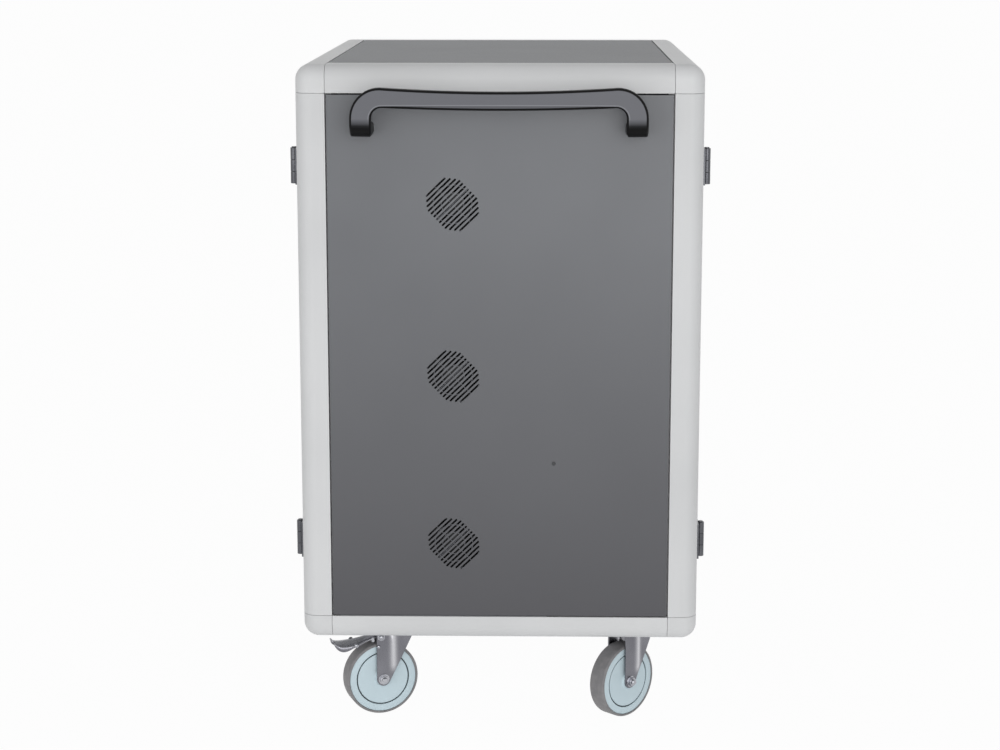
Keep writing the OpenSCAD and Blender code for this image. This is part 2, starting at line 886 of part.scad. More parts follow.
// Lever with its key barrel and headed spindle, pointing to the hinges when unlocked
module lock_lever() {
    spindle_l = lever_x - cam_out + cam_t + slide_fit;
    color(black_steel) translate([0, -lock_y, lock_z]) {
        translate([-lever_x - lever_t, 0, 0]) run_x(lever_t) {
            circle(lever_w / 2 + 3);
            translate([-lever_l + lever_w / 2, -lever_w / 2])
                square([lever_l - lever_w / 2, lever_w]);
            translate([-lever_l + lever_w / 2, 0]) circle(lever_w / 2);
        }
        translate([-lever_x, 0, 0]) rotate([0, 90, 0])
            cylinder(r = spindle_r, h = spindle_l);
        translate([spindle_l - lever_x, 0, 0]) rotate([0, 90, 0])
            cylinder(r = spindle_r + 2, h = 2);
        translate([-lever_x - lever_t - 1.5, 0, 0]) rotate([0, 90, 0]) cylinder(r = 6, h = 2);
    }
}

// Cam plate with its tongue, and a pin for each rod
module lock_cam(pins) {
    color("silver") translate([0, -lock_y, lock_z]) difference() {
        union() {
            translate([-cam_out, 0, 0]) run_x(cam_t) {
                circle(cam_r + 4);
                translate([-8, -cam_tongue]) square([16, cam_tongue]);
            }
            for (side = pins)
                translate([-rod_x - 3, side * cam_rise, -side * cam_rise])
                    rotate([0, 90, 0]) cylinder(r = cam_pin_r, h = rod_x + 4 - cam_out);
        }
        translate([-cam_out - 1, 0, 0]) rotate([0, 90, 0])
            cylinder(r = spindle_r + shaft_fit, h = cam_t + 2);
    }
}

module front_lock_plate() { lock_plate(); }

module front_lock_lever() { lock_lever(); }

module front_lock_cam() { lock_cam([-1, 1]); }

module rear_lock_plate() { mirror([1, 0, 0]) lock_plate(); }

module rear_lock_lever() {
    mirror([1, 0, 0]) {
        lock_lever();
        lock_cam([]);
    }
}

// Rod with the slotted tab that the cam's pin moves
module locking_rod() {
    tab_h = cam_rise + cam_pin_r + 3.5;
    slot_h = 2 * cam_pin_r + 1;
    translate([-rod_x, -lock_y, lock_z]) {
        translate([-1.5, 0, 0]) run_x(3) difference() {
            translate([spindle_r + 1, -tab_h]) square([rod_tab_w, tab_h + 24]);
            translate([0, -cam_rise - slot_h / 2])
                square([cam_r + cam_pin_r + 0.5, slot_h]);
        }
        translate([0, rod_y, 20]) cylinder(r = rod_r, h = rod_l - 20);
    }
}

module front_upper_rod() { color("silver") locking_rod(); }

module front_lower_rod() {
    color("silver") translate([0, -lock_y, lock_z]) rotate([180, 0, 0])
        translate([0, lock_y, -lock_z]) locking_rod();
}

// Casters

function caster_yaw(side_x, side_y) = side_x < 0 ? (side_y < 0 ? 21 : 15) : (side_y < 0 ? 45 : 36);

module at_caster(side_x, side_y) {
    translate([side_x < 0 ? -caster_front_x : caster_rear_x, side_y * caster_y, 0]) children();
}

module at_casters() {
    for (side_x = [-1, 1], side_y = [-1, 1]) at_caster(side_x, side_y) children();
}

module swivelled(side_x, side_y) {
    at_caster(side_x, side_y) rotate(caster_yaw(side_x, side_y)) children();
}

module at_bolts() {
    for (x = [-1, 1], y = [-1, 1]) translate([x * bolt_x, y * bolt_y, 0]) children();
}

module caster_plates() {
    head_z = crown_z - slide_fit - 4;
    color("silver") at_casters() difference() {
        union() {
            translate([0, 0, ride_h - plate_t]) centred([2 * bolt_x + 25, 2 * bolt_y + 24, plate_t]);
            translate([0, 0, race_z]) cylinder(r = 27, h = race_h + eps);
            translate([0, 0, head_z]) cylinder(r = kingpin_r, h = race_z - head_z + eps);
            translate([0, 0, head_z]) cylinder(r = kingpin_r + 5, h = 4);
        }
        at_bolts() translate([0, 0, race_z]) cylinder(r = bolt_hole_r, h = ride_h);
    }
}

module caster_bolts() {
    color("silver") at_casters() at_bolts() {
        translate([0, 0, ride_h - plate_t - bolt_head_h])
            cylinder(r = bolt_head_r, h = bolt_head_h, $fn = 6);
        translate([0, 0, ride_h - plate_t - eps])
            cylinder(r = bolt_r, h = plate_t + base_t + bolt_nut_h + 2);
        translate([0, 0, ride_h + base_t]) difference() {
            cylinder(r = bolt_head_r, h = bolt_nut_h, $fn = 6);
            translate([0, 0, -1]) cylinder(r = bolt_r + shaft_fit, h = bolt_nut_h + 2);
        }
    }
}

// Leg of the fork seen from the side, tapering to the eye round the axle
module fork_leg() {
    shoulder = [crown_front, crown_z - 8];
    eye = [-trail, wheel_r];
    reach = shoulder - eye;
    turn = atan2(reach.y, reach.x) - acos(axle_eye / norm(reach));
    polygon([
        [-crown_back, crown_top], [crown_front, crown_top], shoulder,
        eye + axle_eye * [cos(turn), sin(turn)], eye, [-crown_back, wheel_r]
    ]);
    translate(eye) circle(axle_eye);
}

module across(r, half_w) {
    rotate([90, 0, 0]) cylinder(r = r, h = 2 * half_w, center = true);
}

module fork() {
    color("silver") {
        difference() {
            union() {
                translate([-crown_back, -leg_out, crown_z])
                    cube([crown_back + crown_front, 2 * leg_out, fork_t]);
                for (y = [-leg_out, leg_in]) translate([0, y, 0]) run_y(fork_t) fork_leg();
                translate([0, 0, crown_top - eps]) cylinder(r = 25, h = 1 - slide_fit);
            }
            translate([0, 0, crown_z - 1]) cylinder(r = kingpin_r + shaft_fit, h = fork_t + 3);
            translate([-trail, 0, wheel_r]) across(axle_r + shaft_fit, leg_out + 1);
            translate([pivot_x, 0, pivot_z]) across(pivot_r + shaft_fit, leg_out + 1);
        }
        translate([-trail, 0, wheel_r]) {
            across(axle_r, leg_out + 1);
            for (side = [-1, 1])
                translate([0, side * (leg_out + shaft_fit + axle_nut_h / 2), 0]) rotate([90, 0, 0])
                    cylinder(r = axle_nut_r, h = axle_nut_h, center = true, $fn = 6);
        }
    }
}

module front_near_fork() { swivelled(-1, -1) fork(); }

module front_far_fork() { swivelled(-1, 1) fork(); }

module rear_near_fork() { swivelled(1, -1) fork(); }

module rear_far_fork() { swivelled(1, 1) fork(); }

module at_axle(side_x, side_y) {
    swivelled(side_x, side_y) translate([-trail, 0, wheel_r]) rotate([90, 0, 0]) children();
}

module flat_ring(r0, r1, half_w) {
    translate([r0, -half_w]) square([r1 - r0, 2 * half_w]);
}

module hub() {
    bore_r = axle_r + shaft_fit;
    color("lightsteelblue") rotate_extrude() difference() {
        union() {
            flat_ring(bore_r, axle_r + 9, boss_y);
            flat_ring(axle_r + 8, hub_r - 14, wheel_w / 2 - 3);
            flat_ring(hub_r - 15, hub_r, wheel_w / 2 - 1);
        }
        for (side = [-1, 1])
            translate([hub_r - 12, side * (wheel_w / 2 - 1)]) square([1.5, 3], center = true);
    }
}

module front_near_hub() { at_axle(-1, -1) hub(); }

module front_far_hub() { at_axle(-1, 1) hub(); }

module rear_near_hub() { at_axle(1, -1) hub(); }

module rear_far_hub() { at_axle(1, 1) hub(); }

module tread() {
    shoulder_r = 3;
    color("gray") rotate_extrude() {
        flat_ring(hub_r + shaft_fit, wheel_r - shoulder_r, wheel_w / 2);
        flat_ring(wheel_r - shoulder_r - eps, wheel_r, wheel_w / 2 - shoulder_r);
        for (side = [-1, 1]) mirror([0, side < 0 ? 1 : 0])
            translate([wheel_r - shoulder_r, wheel_w / 2 - shoulder_r]) quarter_disc(shoulder_r);
    }
}

module front_near_tread() { at_axle(-1, -1) tread(); }

module front_far_tread() { at_axle(-1, 1) tread(); }

module rear_near_tread() { at_axle(1, -1) tread(); }

module rear_far_tread() { at_axle(1, 1) tread(); }

// Foot pedal over the wheel, with the shoe that presses on the tread
module brake() {
    arm_w = 2 * (leg_in - 4);
    color("silver") translate([pivot_x, 0, pivot_z]) {
        across(sleeve_r, leg_in - slide_fit);
        across(pivot_r, leg_out);
        rotate([0, -pedal_tilt, 0]) {
            translate([-cup_x - 2, -arm_w / 2, 0]) cube([cup_x + 2, arm_w, pedal_t]);
            translate([-16, -arm_w / 2, -shoe_d]) cube([5, arm_w, shoe_d + eps]);
            translate([-pedal_l, -pedal_w / 2, -cup_d]) difference() {
                cube([pedal_l - cup_x, pedal_w, cup_d + pedal_t]);
                translate([pedal_t, pedal_t, -1])
                    cube([pedal_l, pedal_w - 2 * pedal_t, cup_d + 1]);
            }
        }
    }
}

module front_near_brake() { swivelled(-1, -1) brake(); }

module front_far_brake() { swivelled(-1, 1) brake(); }

posts();
top_corners();
bottom_corners();
top_rails();
bottom_rails();
top_panel();
base_pan();
near_end_panel();
far_end_panel();
partition();
shelves();
lower_divider_rack();
middle_divider_rack();
upper_divider_rack();
charger_trays();
socket_strips();
control_box();
power_switch();
power_inlet();
fan_guards();
fan_frames();
lower_fan_rotor();
middle_fan_rotor();
upper_fan_rotor();
near_handle();
far_handle();
handle_screws();
front_near_door();
front_far_door();
rear_near_door();
rear_far_door();
post_hinge_leaves();
hinge_pins();
front_near_hinge_leaves();
front_far_hinge_leaves();
rear_near_hinge_leaves();
rear_far_hinge_leaves();
front_lock_plate();
front_lock_lever();
front_lock_cam();
front_upper_rod();
front_lower_rod();
rear_lock_plate();
rear_lock_lever();
caster_plates();
caster_bolts();
front_near_fork();
front_far_fork();
rear_near_fork();
rear_far_fork();
front_near_hub();
front_far_hub();
rear_near_hub();
rear_far_hub();
front_near_tread();
front_far_tread();
rear_near_tread();
rear_far_tread();
front_near_brake();
front_far_brake();
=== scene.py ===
# Laptop charging cart: finishes, moulded and pressed pieces, light and camera around the fixed frame
import math
import bmesh
import bpy
from mathutils import Matrix, Vector
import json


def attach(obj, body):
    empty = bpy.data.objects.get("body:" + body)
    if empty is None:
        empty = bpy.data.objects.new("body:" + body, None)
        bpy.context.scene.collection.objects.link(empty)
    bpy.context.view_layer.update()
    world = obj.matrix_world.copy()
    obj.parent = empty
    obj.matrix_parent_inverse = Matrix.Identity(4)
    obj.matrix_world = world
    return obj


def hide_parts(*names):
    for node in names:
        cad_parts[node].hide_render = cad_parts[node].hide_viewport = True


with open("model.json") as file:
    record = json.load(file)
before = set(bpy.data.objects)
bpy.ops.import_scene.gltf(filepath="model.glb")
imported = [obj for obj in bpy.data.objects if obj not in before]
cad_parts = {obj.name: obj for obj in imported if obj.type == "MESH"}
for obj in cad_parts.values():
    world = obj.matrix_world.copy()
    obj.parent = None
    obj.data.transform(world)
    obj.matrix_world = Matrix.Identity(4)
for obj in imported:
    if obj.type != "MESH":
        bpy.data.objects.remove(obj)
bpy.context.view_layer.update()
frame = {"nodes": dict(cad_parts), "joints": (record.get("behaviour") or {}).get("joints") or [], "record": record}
nodeBody = {node: body for body, nodes in frame["record"]["behaviour"]["bodies"].items() for node in nodes}
nodeSlot = {part["node"]: part["material_slot"] for part in frame["record"]["subparts"]}
joints = {joint["name"]: joint for joint in frame["joints"]}
corners = ["front_near", "front_far", "rear_near", "rear_far"]
levels = ["lower", "middle", "upper"]
print("Frame loaded with", len(frame["nodes"]), "nodes")

# Colour and shader helpers


def hexColour(text):
    # sRGB hex to the linear colour that sockets take
    values = [int(text[i : i + 2], 16) / 255 for i in (1, 3, 5)]
    return tuple(v / 12.92 if v <= 0.04045 else ((v + 0.055) / 1.055) ** 2.4 for v in values) + (1.0,)


def addNode(tree, kind, inputs=(), output=0, **settings):
    # One node with its settings; inputs go by name or in order, each a value to set or a socket to link
    node = tree.nodes.new(kind)
    for name, value in settings.items():
        setattr(node, name, value)
    for name, value in inputs.items() if isinstance(inputs, dict) else enumerate(inputs):
        if isinstance(value, bpy.types.NodeSocket):
            tree.links.new(value, node.inputs[name])
        else:
            node.inputs[name].default_value = value
    return node.outputs[output]


def startMaterial(name, base):
    material = bpy.data.materials.new(name)
    material.use_nodes = True
    tree = material.node_tree
    shader = tree.nodes["Principled BSDF"]
    for socket, value in base.items():
        shader.inputs[socket].default_value = value
    return material, tree, shader, addNode(tree, "ShaderNodeTexCoord", output="Object")


def lumps(tree, place, sizeMm, detail=3.0, roughness=0.5, stretch=(1, 1, 1)):
    # Noise whose lumps are about sizeMm across, drawn out along the axes with a small stretch factor
    mapped = addNode(tree, "ShaderNodeMapping", {"Vector": place, "Scale": stretch})
    pattern = {"Vector": mapped, "Scale": 1000 / sizeMm, "Detail": detail, "Roughness": roughness}
    return addNode(tree, "ShaderNodeTexNoise", pattern, "Fac")


def toneBetween(tree, share, low, high, first, second):
    # Colour that passes from the first to the second while the share goes from low to high
    blend = addNode(tree, "ShaderNodeMapRange", [share, low, high, 0, 1])
    return addNode(tree, "ShaderNodeMix", {0: blend, 6: first, 7: second}, 2, data_type="RGBA")


def addSurface(tree, shader, tone, grain, roughness, depthMm):
    # Colour, then gloss and relief that both follow the grain, whose noise keeps mostly within 0.3 to 0.7
    tree.links.new(tone, shader.inputs["Base Color"])
    gloss = addNode(tree, "ShaderNodeMapRange", [grain, 0.3, 0.7, *roughness])
    tree.links.new(gloss, shader.inputs["Roughness"])
    relief = {"Height": grain, "Distance": depthMm / 1000, "Strength": 1.0}
    tree.links.new(addNode(tree, "ShaderNodeBump", relief, "Normal"), shader.inputs["Normal"])


# Materials

powderCoat = {
    "orangePeelMm": 2.6,  # lumps of the cured film, coarser than the real 1 mm so that they show
    "peelDepthMm": 0.012,
    "cloudMm": 260,  # slow change of film thickness across a sheet
    "cloudBand": (0.28, 0.72),  # noise values that give the dark and the light tone
    "shadedFootMm": (200, 900),  # heights over which an end panel passes from painted shade at the bottom to its own tone
}


def powderCoatedMetal(name, light, dark, roughness, specular=0.5, foot=None):
    # Sprayed and baked polyester powder: satin, faintly pebbled, never quite even in tone; with foot,
    # the sheet takes painted shade, darker towards the bottom edge
    base = {"IOR": 1.5, "Metallic": 0.0, "Specular IOR Level": specular}
    material, tree, shader, place = startMaterial(name, base)
    clouds = lumps(tree, place, powderCoat["cloudMm"], 2.0)
    grain = lumps(tree, place, powderCoat["orangePeelMm"], 2.0)
    tone = toneBetween(tree, clouds, *powderCoat["cloudBand"], hexColour(dark), hexColour(light))
    if foot:
        rise = addNode(tree, "ShaderNodeSeparateXYZ", [place], "Z")
        low, high = (height / 1000 for height in powderCoat["shadedFootMm"])
        tone = toneBetween(tree, rise, low, high, hexColour(foot), tone)
    addSurface(tree, shader, tone, grain, (roughness - 0.03, roughness + 0.04), powderCoat["peelDepthMm"])
    return material


def mouldedPlastic(name, colour, roughness, sparkMm=0.9, depthMm=0.012, patchy=0.03, specular=0.5, grooveShade=None):
    # Injection-moulded part with a spark-eroded grain, drawn near 1 mm, coarser than the real one so that
    # it shows, and a little paler in patches; the last argument is the colour of painted shade in its grooves
    material, tree, shader, place = startMaterial(name, {"IOR": 1.49, "Specular IOR Level": specular})
    grain = lumps(tree, place, sparkMm, 4.0, 0.6)
    patch = lumps(tree, place, 60, 2.0)
    base = hexColour(colour)
    pale = tuple(min(1, c * (1 + 4 * patchy) + patchy * 0.05) for c in base[:3]) + (1.0,)
    tone = toneBetween(tree, patch, 0.35, 0.65, base, pale)
    # painted shade in the grooves, where the mesh marks them
    if grooveShade:
        shadedGroove = addNode(tree, "ShaderNodeAttribute", output="Fac", attribute_name="grooveShade")
        tone = toneBetween(tree, shadedGroove, 0, 1, tone, hexColour(grooveShade))
    addSurface(tree, shader, tone, grain, (roughness - 0.05, roughness + 0.06), depthMm)
    return material


plating = {"drawLineMm": 1.6, "lineDepthMm": 0.01, "cloudMm": 45}  # lines coarser than real, to show
noLines = (1, 1, 1)  # stretch for turned and stamped parts, which show no draw lines


def zincPlatedSteel(name, light, dark, roughness, streak=(1, 1, 0.08), highlightColour=None):
    # Bright zinc over rolled steel: metallic, faint draw lines, a slow change of tone from the plating
    # bath, and a painted highlight where the mesh marks one
    material, tree, shader, place = startMaterial(name, {"Metallic": 1.0})
    lines = lumps(tree, place, plating["drawLineMm"], 3.0, 0.6, streak)
    cloud = lumps(tree, place, plating["cloudMm"], 1.5)
    tone = toneBetween(tree, cloud, 0.35, 0.65, hexColour(dark), hexColour(light))
    if highlightColour:
        highlightShare = addNode(tree, "ShaderNodeAttribute", output="Fac", attribute_name="paintedHighlight")
        tone = toneBetween(tree, highlightShare, 0, 1, tone, hexColour(highlightColour))
    addSurface(tree, shader, tone, lines, (roughness - 0.07, roughness + 0.1), plating["lineDepthMm"])
    return material


def thermoplasticRubber(name):
    # Injected grey tread: dull, rubbed paler in scuffs, with a grain drawn coarser than real so that it shows
    material, tree, shader, place = startMaterial(name, {"IOR": 1.52})
    scuffs = lumps(tree, place, 14, 4.0, 0.6)
    grain = lumps(tree, place, 1.1, 3.0)
    tone = toneBetween(tree, scuffs, 0.4, 0.7, hexColour("#767577"), hexColour("#878586"))
    addSurface(tree, shader, tone, grain, (0.5, 0.66), 0.03)
    return material


def nylonHandle(name):
    # Glass-filled nylon, near black, with painted light: the front face painted grey as lit from the front,
    # a painted highlight along the crease, and painted shade left near black on the top, back and foot
    material, tree, shader, place = startMaterial(name, {"IOR": 1.53, "Specular IOR Level": 0.1})
    grain = lumps(tree, place, 0.8, 3.0, 0.6)
    paintedLight = addNode(tree, "ShaderNodeAttribute", output="Fac", attribute_name="paintedLight")
    face = toneBetween(tree, paintedLight, 0.0, 0.8, hexColour("#070708"), hexColour("#6b6c71"))
    tone = toneBetween(tree, paintedLight, 0.8, 1.0, face, hexColour("#8a8b90"))
    addSurface(tree, shader, tone, grain, (0.34, 0.46), 0.012)
    return material


finish = {
    "frame_paint": powderCoatedMetal("powderCoatedAluminium", "#d3d4d5", "#cacbcc", 0.42, 0.3),
    "corner_plastic": mouldedPlastic("mouldedAbsGrey", "#cfd0d1", 0.42, 1.2, 0.008, 0.01, 0.3),
    "panel_paint": powderCoatedMetal("powderCoatedSteelDark", "#727477", "#6a6b6f", 0.36),
    "liner_paint": powderCoatedMetal("powderCoatedSteelLight", "#bcbdbf", "#b4b6b8", 0.42),
    "dark_plastic": mouldedPlastic("mouldedAbsDark", "#4b4c50", 0.45),
    "black_steel": powderCoatedMetal("blackenedSteel", "#3a3b3e", "#2f3033", 0.32),
    "zinc_steel": zincPlatedSteel("zincPlatedSteel", "#b4b5b9", "#a5a6ab", 0.26),
    "black_plastic": mouldedPlastic("mouldedPbtBlack", "#232426", 0.40),
    "white_plastic": mouldedPlastic("mouldedPolycarbonateWhite", "#e4e4e0", 0.35, 0.9, 0.006, 0.005),
    # the hub's second colour is painted shade for the groove round its cover disc
    "hub_plastic": mouldedPlastic("mouldedPolypropylene", "#bfd0d7", 0.38, 1.0, 0.008, 0.01, 0.5, "#3c464b"),
    "tread_rubber": thermoplasticRubber("thermoplasticRubber"),
}
handleNylon = nylonHandle("glassFilledNylon")
lidPaint = powderCoatedMetal("powderCoatedLid", "#6f7174", "#686a6d", 0.5, 0.28)
# end panels: painted shade, darker towards the bottom edge
endPaint = powderCoatedMetal("powderCoatedEndPanel", "#6c6e72", "#65676b", 0.36, 0.5, "#4b4b4f")
fanPlastic = mouldedPlastic("mouldedPbtFan", "#131416", 0.5)
paintedWire = powderCoatedMetal("paintedWire", "#606166", "#55565b", 0.4)
hingeSteel = zincPlatedSteel("zincPlatedHinge", "#66676b", "#57585c", 0.3, noLines)
# pressed zinc: its last colour is a painted highlight on the fork's rib and the pedal's sides
pressedZinc = zincPlatedSteel("zincPlatedPressed", "#7f7f85", "#737379", 0.27, highlightColour="#c8c8cc")
brightZinc = zincPlatedSteel("zincPlatedTurned", "#bcbdc2", "#a6a7ad", 0.2, noLines)
screwSteel = zincPlatedSteel("zincPlatedScrew", "#6f7075", "#606166", 0.4, noLines)
contactBrass = zincPlatedSteel("stampedBrass", "#c9a45a", "#b08a45", 0.22)
print("Materials made")

# Mesh helpers

onAxis = 0.00001  # radius at which a turned profile ends, just off its axis


def placePiece(name, mesh, body, material, replaced=()):
    piece = bpy.data.objects.new(name, mesh)
    bpy.context.scene.collection.objects.link(piece)
    mesh.materials.clear()
    mesh.materials.append(material)
    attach(piece, body)
    if replaced:
        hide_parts(*replaced)
    return piece


def placeStandIn(name, mesh, node, material=None):
    # A finer piece that stands for a imported node, on its body and with its slot's finish unless one is given
    slotName = nodeSlot[node]
    return placePiece(name, mesh, nodeBody[node], material or finish[slotName], [node])


def nodeBox(node):
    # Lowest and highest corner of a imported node's own mesh
    box = [Vector(corner) for corner in frame["nodes"][node].bound_box]
    return [min(c[i] for c in box) for i in range(3)], [max(c[i] for c in box) for i in range(3)]


def metres(points):
    return [(first / 1000, second / 1000) for first, second in points]


def toMesh(bm, name, matrix=None, sharpDegrees=32):
    # Finished bmesh to a mesh in the row frame, smooth except across sharp folds
    if matrix:
        bmesh.ops.transform(bm, matrix=matrix, verts=bm.verts)
        if matrix.determinant() < 0:
            bmesh.ops.reverse_faces(bm, faces=bm.faces)
    for face in bm.faces:
        face.smooth = True
    for edge in bm.edges:
        if len(edge.link_faces) != 2 or edge.calc_face_angle(0) > math.radians(sharpDegrees):
            edge.smooth = False
    mesh = bpy.data.meshes.new(name)
    bm.to_mesh(mesh)
    bm.free()
    return mesh


def addRounding(piece, widthMm, segments=2, minDegrees=32):
    bevel = piece.modifiers.new("rounding", "BEVEL")
    bevel.width = widthMm / 1000
    bevel.segments = segments
    bevel.limit_method = "ANGLE"
    bevel.angle_limit = math.radians(minDegrees)
    bevel.use_clamp_overlap = False
    bevel.miter_outer = "MITER_ARC"
    even = piece.modifiers.new("evenNormals", "WEIGHTED_NORMAL")
    even.keep_sharp = True


def addSheet(piece, thicknessMm):
    # Metal thickness on the inner side of an open skin
    sheet = piece.modifiers.new("sheet", "SOLIDIFY")
    sheet.thickness = thicknessMm / 1000
    sheet.offset = -1


def faceOutwards(bm):
    bmesh.ops.recalc_face_normals(bm, faces=bm.faces)


def faceUpwards(bm, above=-1.0):
    # For an open skin, which has no outside: its faces over a height look up
    faceOutwards(bm)
    if sum(face.normal.z for face in bm.faces if face.calc_center_median().z > above) < 0:
        bmesh.ops.reverse_faces(bm, faces=bm.faces)


def loft(bm, rings):
    # Skin with ends over rings of points, each ring a closed loop
    rows = [[bm.verts.new(point) for point in ring] for ring in rings]
    for below, above in zip(rows, rows[1:]):
        count = len(below)
        for i in range(count):
            j = (i + 1) % count
            bm.faces.new((below[i], below[j], above[j], above[i]))
    bm.faces.new(rows[0][::-1])
    bm.faces.new(rows[-1])
    return rows


def openSkin(bm, rows, keep=lambda quad: True):
    # Faces between open rows of vertices, except those that keep leaves out
    for first, second in zip(rows, rows[1:]):
        for i in range(len(first) - 1):
            quad = (first[i], first[i + 1], second[i + 1], second[i])
            if keep(quad):
                bm.faces.new(quad)


def spin(bm, profile, steps=64):
    # Turn a closed profile of (radius, height) points round local Z
    rows = []
    for k in range(steps):
        a = 2 * math.pi * k / steps
        rows.append([bm.verts.new((r * math.cos(a), r * math.sin(a), z)) for r, z in profile])
    count = len(profile)
    for k in range(steps):
        here, there = rows[k], rows[(k + 1) % steps]
        for i in range(count):
            j = (i + 1) % count
            bm.faces.new((here[i], there[i], there[j], here[j]))
    bmesh.ops.remove_doubles(bm, verts=bm.verts, dist=1e-7)


def disc(bm, radius, low, high, steps=48, chamfer=0.0):
    # Short cylinder along Z with chamfered rims; six steps give a hexagon
    rims = [(low, radius), (high, radius)]
    if chamfer:
        rims = [(low, radius - chamfer), (low + chamfer, radius)]
        rims += [(high - chamfer, radius), (high, radius - chamfer)]
    turns = [2 * math.pi * k / steps for k in range(steps)]
    loft(bm, [[Vector((r * math.cos(a), r * math.sin(a), z)) for a in turns] for z, r in rims])


def block(middle, size, edge):
    # Small block with rounded edges
    bm = bmesh.new()
    bmesh.ops.create_cube(bm, size=1)
    matrix = Matrix.Translation(middle) @ Matrix.Diagonal((*size, 1))
    bmesh.ops.transform(bm, verts=bm.verts, matrix=matrix)
    bmesh.ops.bevel(bm, geom=bm.edges[:], offset=edge, segments=2, affect="EDGES")
    return bm


def mergeInto(bm, other, matrix=None):
    # Add another bmesh's faces to this one, moved by the matrix
    if matrix:
        bmesh.ops.transform(other, verts=other.verts, matrix=matrix)
    mesh = bpy.data.meshes.new("part")
    other.to_mesh(mesh)
    bm.from_mesh(mesh)
    bpy.data.meshes.remove(mesh)
    other.free()


def alongAxis(point, axis):
    # Matrix that puts local Z along axis at point
    turn = Vector((0, 0, 1)).rotation_difference(Vector(axis)).to_matrix().to_4x4()
    return Matrix.Translation(Vector(point)) @ turn


def domes(spots, radiusMm, riseMm, socket=0.3):
    # Low heads with a dimple in the middle; spots are places with the direction each faces
    bm = bmesh.new()
    radius, rise, sunk = radiusMm / 1000, riseMm / 1000, 0.0004
    profile = [(onAxis, -sunk), (radius, -sunk), (radius, 0), (radius * 0.9, rise * 0.45)]
    profile += [(radius * 0.68, rise * 0.85), (radius * (socket + 0.12), rise), (radius * socket, rise * 0.9)]
    profile += [(radius * socket * 0.85, rise * 0.25), (onAxis, rise * 0.2)]
    for place, axis in spots:
        part = bmesh.new()
        spin(part, profile, 24)
        mergeInto(bm, part, alongAxis(place, axis))
    faceOutwards(bm)
    return bm


# Frame, skin and inside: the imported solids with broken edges

roundings = {  # width of each broken edge in mm
    "posts": 0.35, "top_corners": 0.35, "bottom_corners": 0.35, "top_rails": 0.35, "bottom_rails": 0.35,
    "top_panel": 0.6, "base_pan": 0.5, "partition": 0.3, "shelves": 0.4, "charger_trays": 0.4,
    "lower_divider_rack": 0.9, "middle_divider_rack": 0.9, "upper_divider_rack": 0.9,
    "socket_strips": 0.6, "control_box": 1.2, "power_switch": 0.4, "power_inlet": 0.5,
    "fan_frames": 0.5, "handle_screws": 0.3,
    **{corner + "_door": 0.6 for corner in corners},
    "post_hinge_leaves": 0.4, "hinge_pins": 0.4,
    **{corner + "_hinge_leaves": 0.4 for corner in corners},
    "front_lock_plate": 0.8, "rear_lock_plate": 0.8, "front_lock_cam": 0.3,
    "front_lock_lever": 0.9, "rear_lock_lever": 0.9,
    "front_upper_rod": 0.4, "front_lower_rod": 0.4,
    "caster_plates": 0.4, "caster_bolts": 0.4,
}
pierced = {  # sheets with holes in a flat face, whose triangles are kept so that no face runs over a hole
    "top_panel", "base_pan", "power_inlet", "post_hinge_leaves", "posts", "top_rails",
    *(corner + part for corner in corners for part in ("_door", "_hinge_leaves")),
}
ownFinish = {"top_panel": lidPaint, "shelves": finish["panel_paint"], "fan_frames": fanPlastic}


def roundedCopy(node, widthMm):
    # The node's own shape with its arrises broken, as deburred sheet and moulded edges are
    bm = bmesh.new()
    bm.from_mesh(frame["nodes"][node].data)
    bmesh.ops.remove_doubles(bm, verts=bm.verts, dist=1e-6)
    if node not in pierced:
        bmesh.ops.dissolve_limit(
            bm, angle_limit=math.radians(0.4), use_dissolve_boundaries=False, verts=bm.verts, edges=bm.edges
        )
    isHinge = node == "hinge_pins" or node.endswith("hinge_leaves")
    material = hingeSteel if isHinge else ownFinish.get(node)
    addRounding(placeStandIn(node + "_finish", toMesh(bm, node + "_rounded"), node, material), widthMm)


for node, width in roundings.items():
    roundedCopy(node, width)
print("Edges rounded on", len(roundings), "nodes")

# Push handles: one moulded bar swept from foot to foot

handle = {
    "legWidthMm": 34, "gripHeightMm": 31, "thicknessMm": 21,
    "outerBendMm": 48, "footBendMm": 27, "bowMm": 18,
    "frontRoundMm": 3.4, "backRoundMm": 6,
    "sagMm": (5.4, 3.4),  # how far the grip's upper and lower edges dip in the middle
    "creaseMm": (8.5, 4.0),  # height of the crease over the lower edge, in the middle and at the ends
    "lowerSlopeMm": 2.0,
    "lightShares": (0.8, 1.0, 0.66, 0.62),  # painted light on the face, painted highlight on the crease, and painted light on the strip under it
    "steps": (14, 12, 10),  # sections along half the grip, round its bend and round the foot
}


def roundCorner(centreS, centreT, radius, start):
    # Quarter circle of a section, with no painted light, so left in painted shade
    turns = [math.radians(start + 22.5 * k) for k in range(5)]
    return [(centreS + radius * math.cos(a), centreT + radius * math.sin(a), 0.0) for a in turns]


def handleSection(a, b, middleShare):
    # Half sizes a across and b deep; first axis runs to the outer edge, second to the front, third is painted
    # light
    front, back = handle["frontRoundMm"] / 1000, handle["backRoundMm"] / 1000
    slope = handle["lowerSlopeMm"] / 1000
    inMiddle, atEnds = handle["creaseMm"]
    crease = -a + (atEnds + (inMiddle - atEnds) * middleShare) / 1000
    faceLight, creaseHighlight, underLight, lowestLight = handle["lightShares"]
    points = roundCorner(a - front, b - front, front, 0)
    points += [(a - front - 0.0006, b, faceLight), (crease + 0.0012, b, faceLight), (crease, b, creaseHighlight)]
    points += [(crease - 0.0014, b - 0.0003, underLight), (-a + front + 0.0006, b - slope, lowestLight)]
    points += roundCorner(-a + front, b - slope - front, front, 90)
    points += roundCorner(-a + back, -b + back, back, 180)
    return points + roundCorner(a - back, -b + back, back, 270)


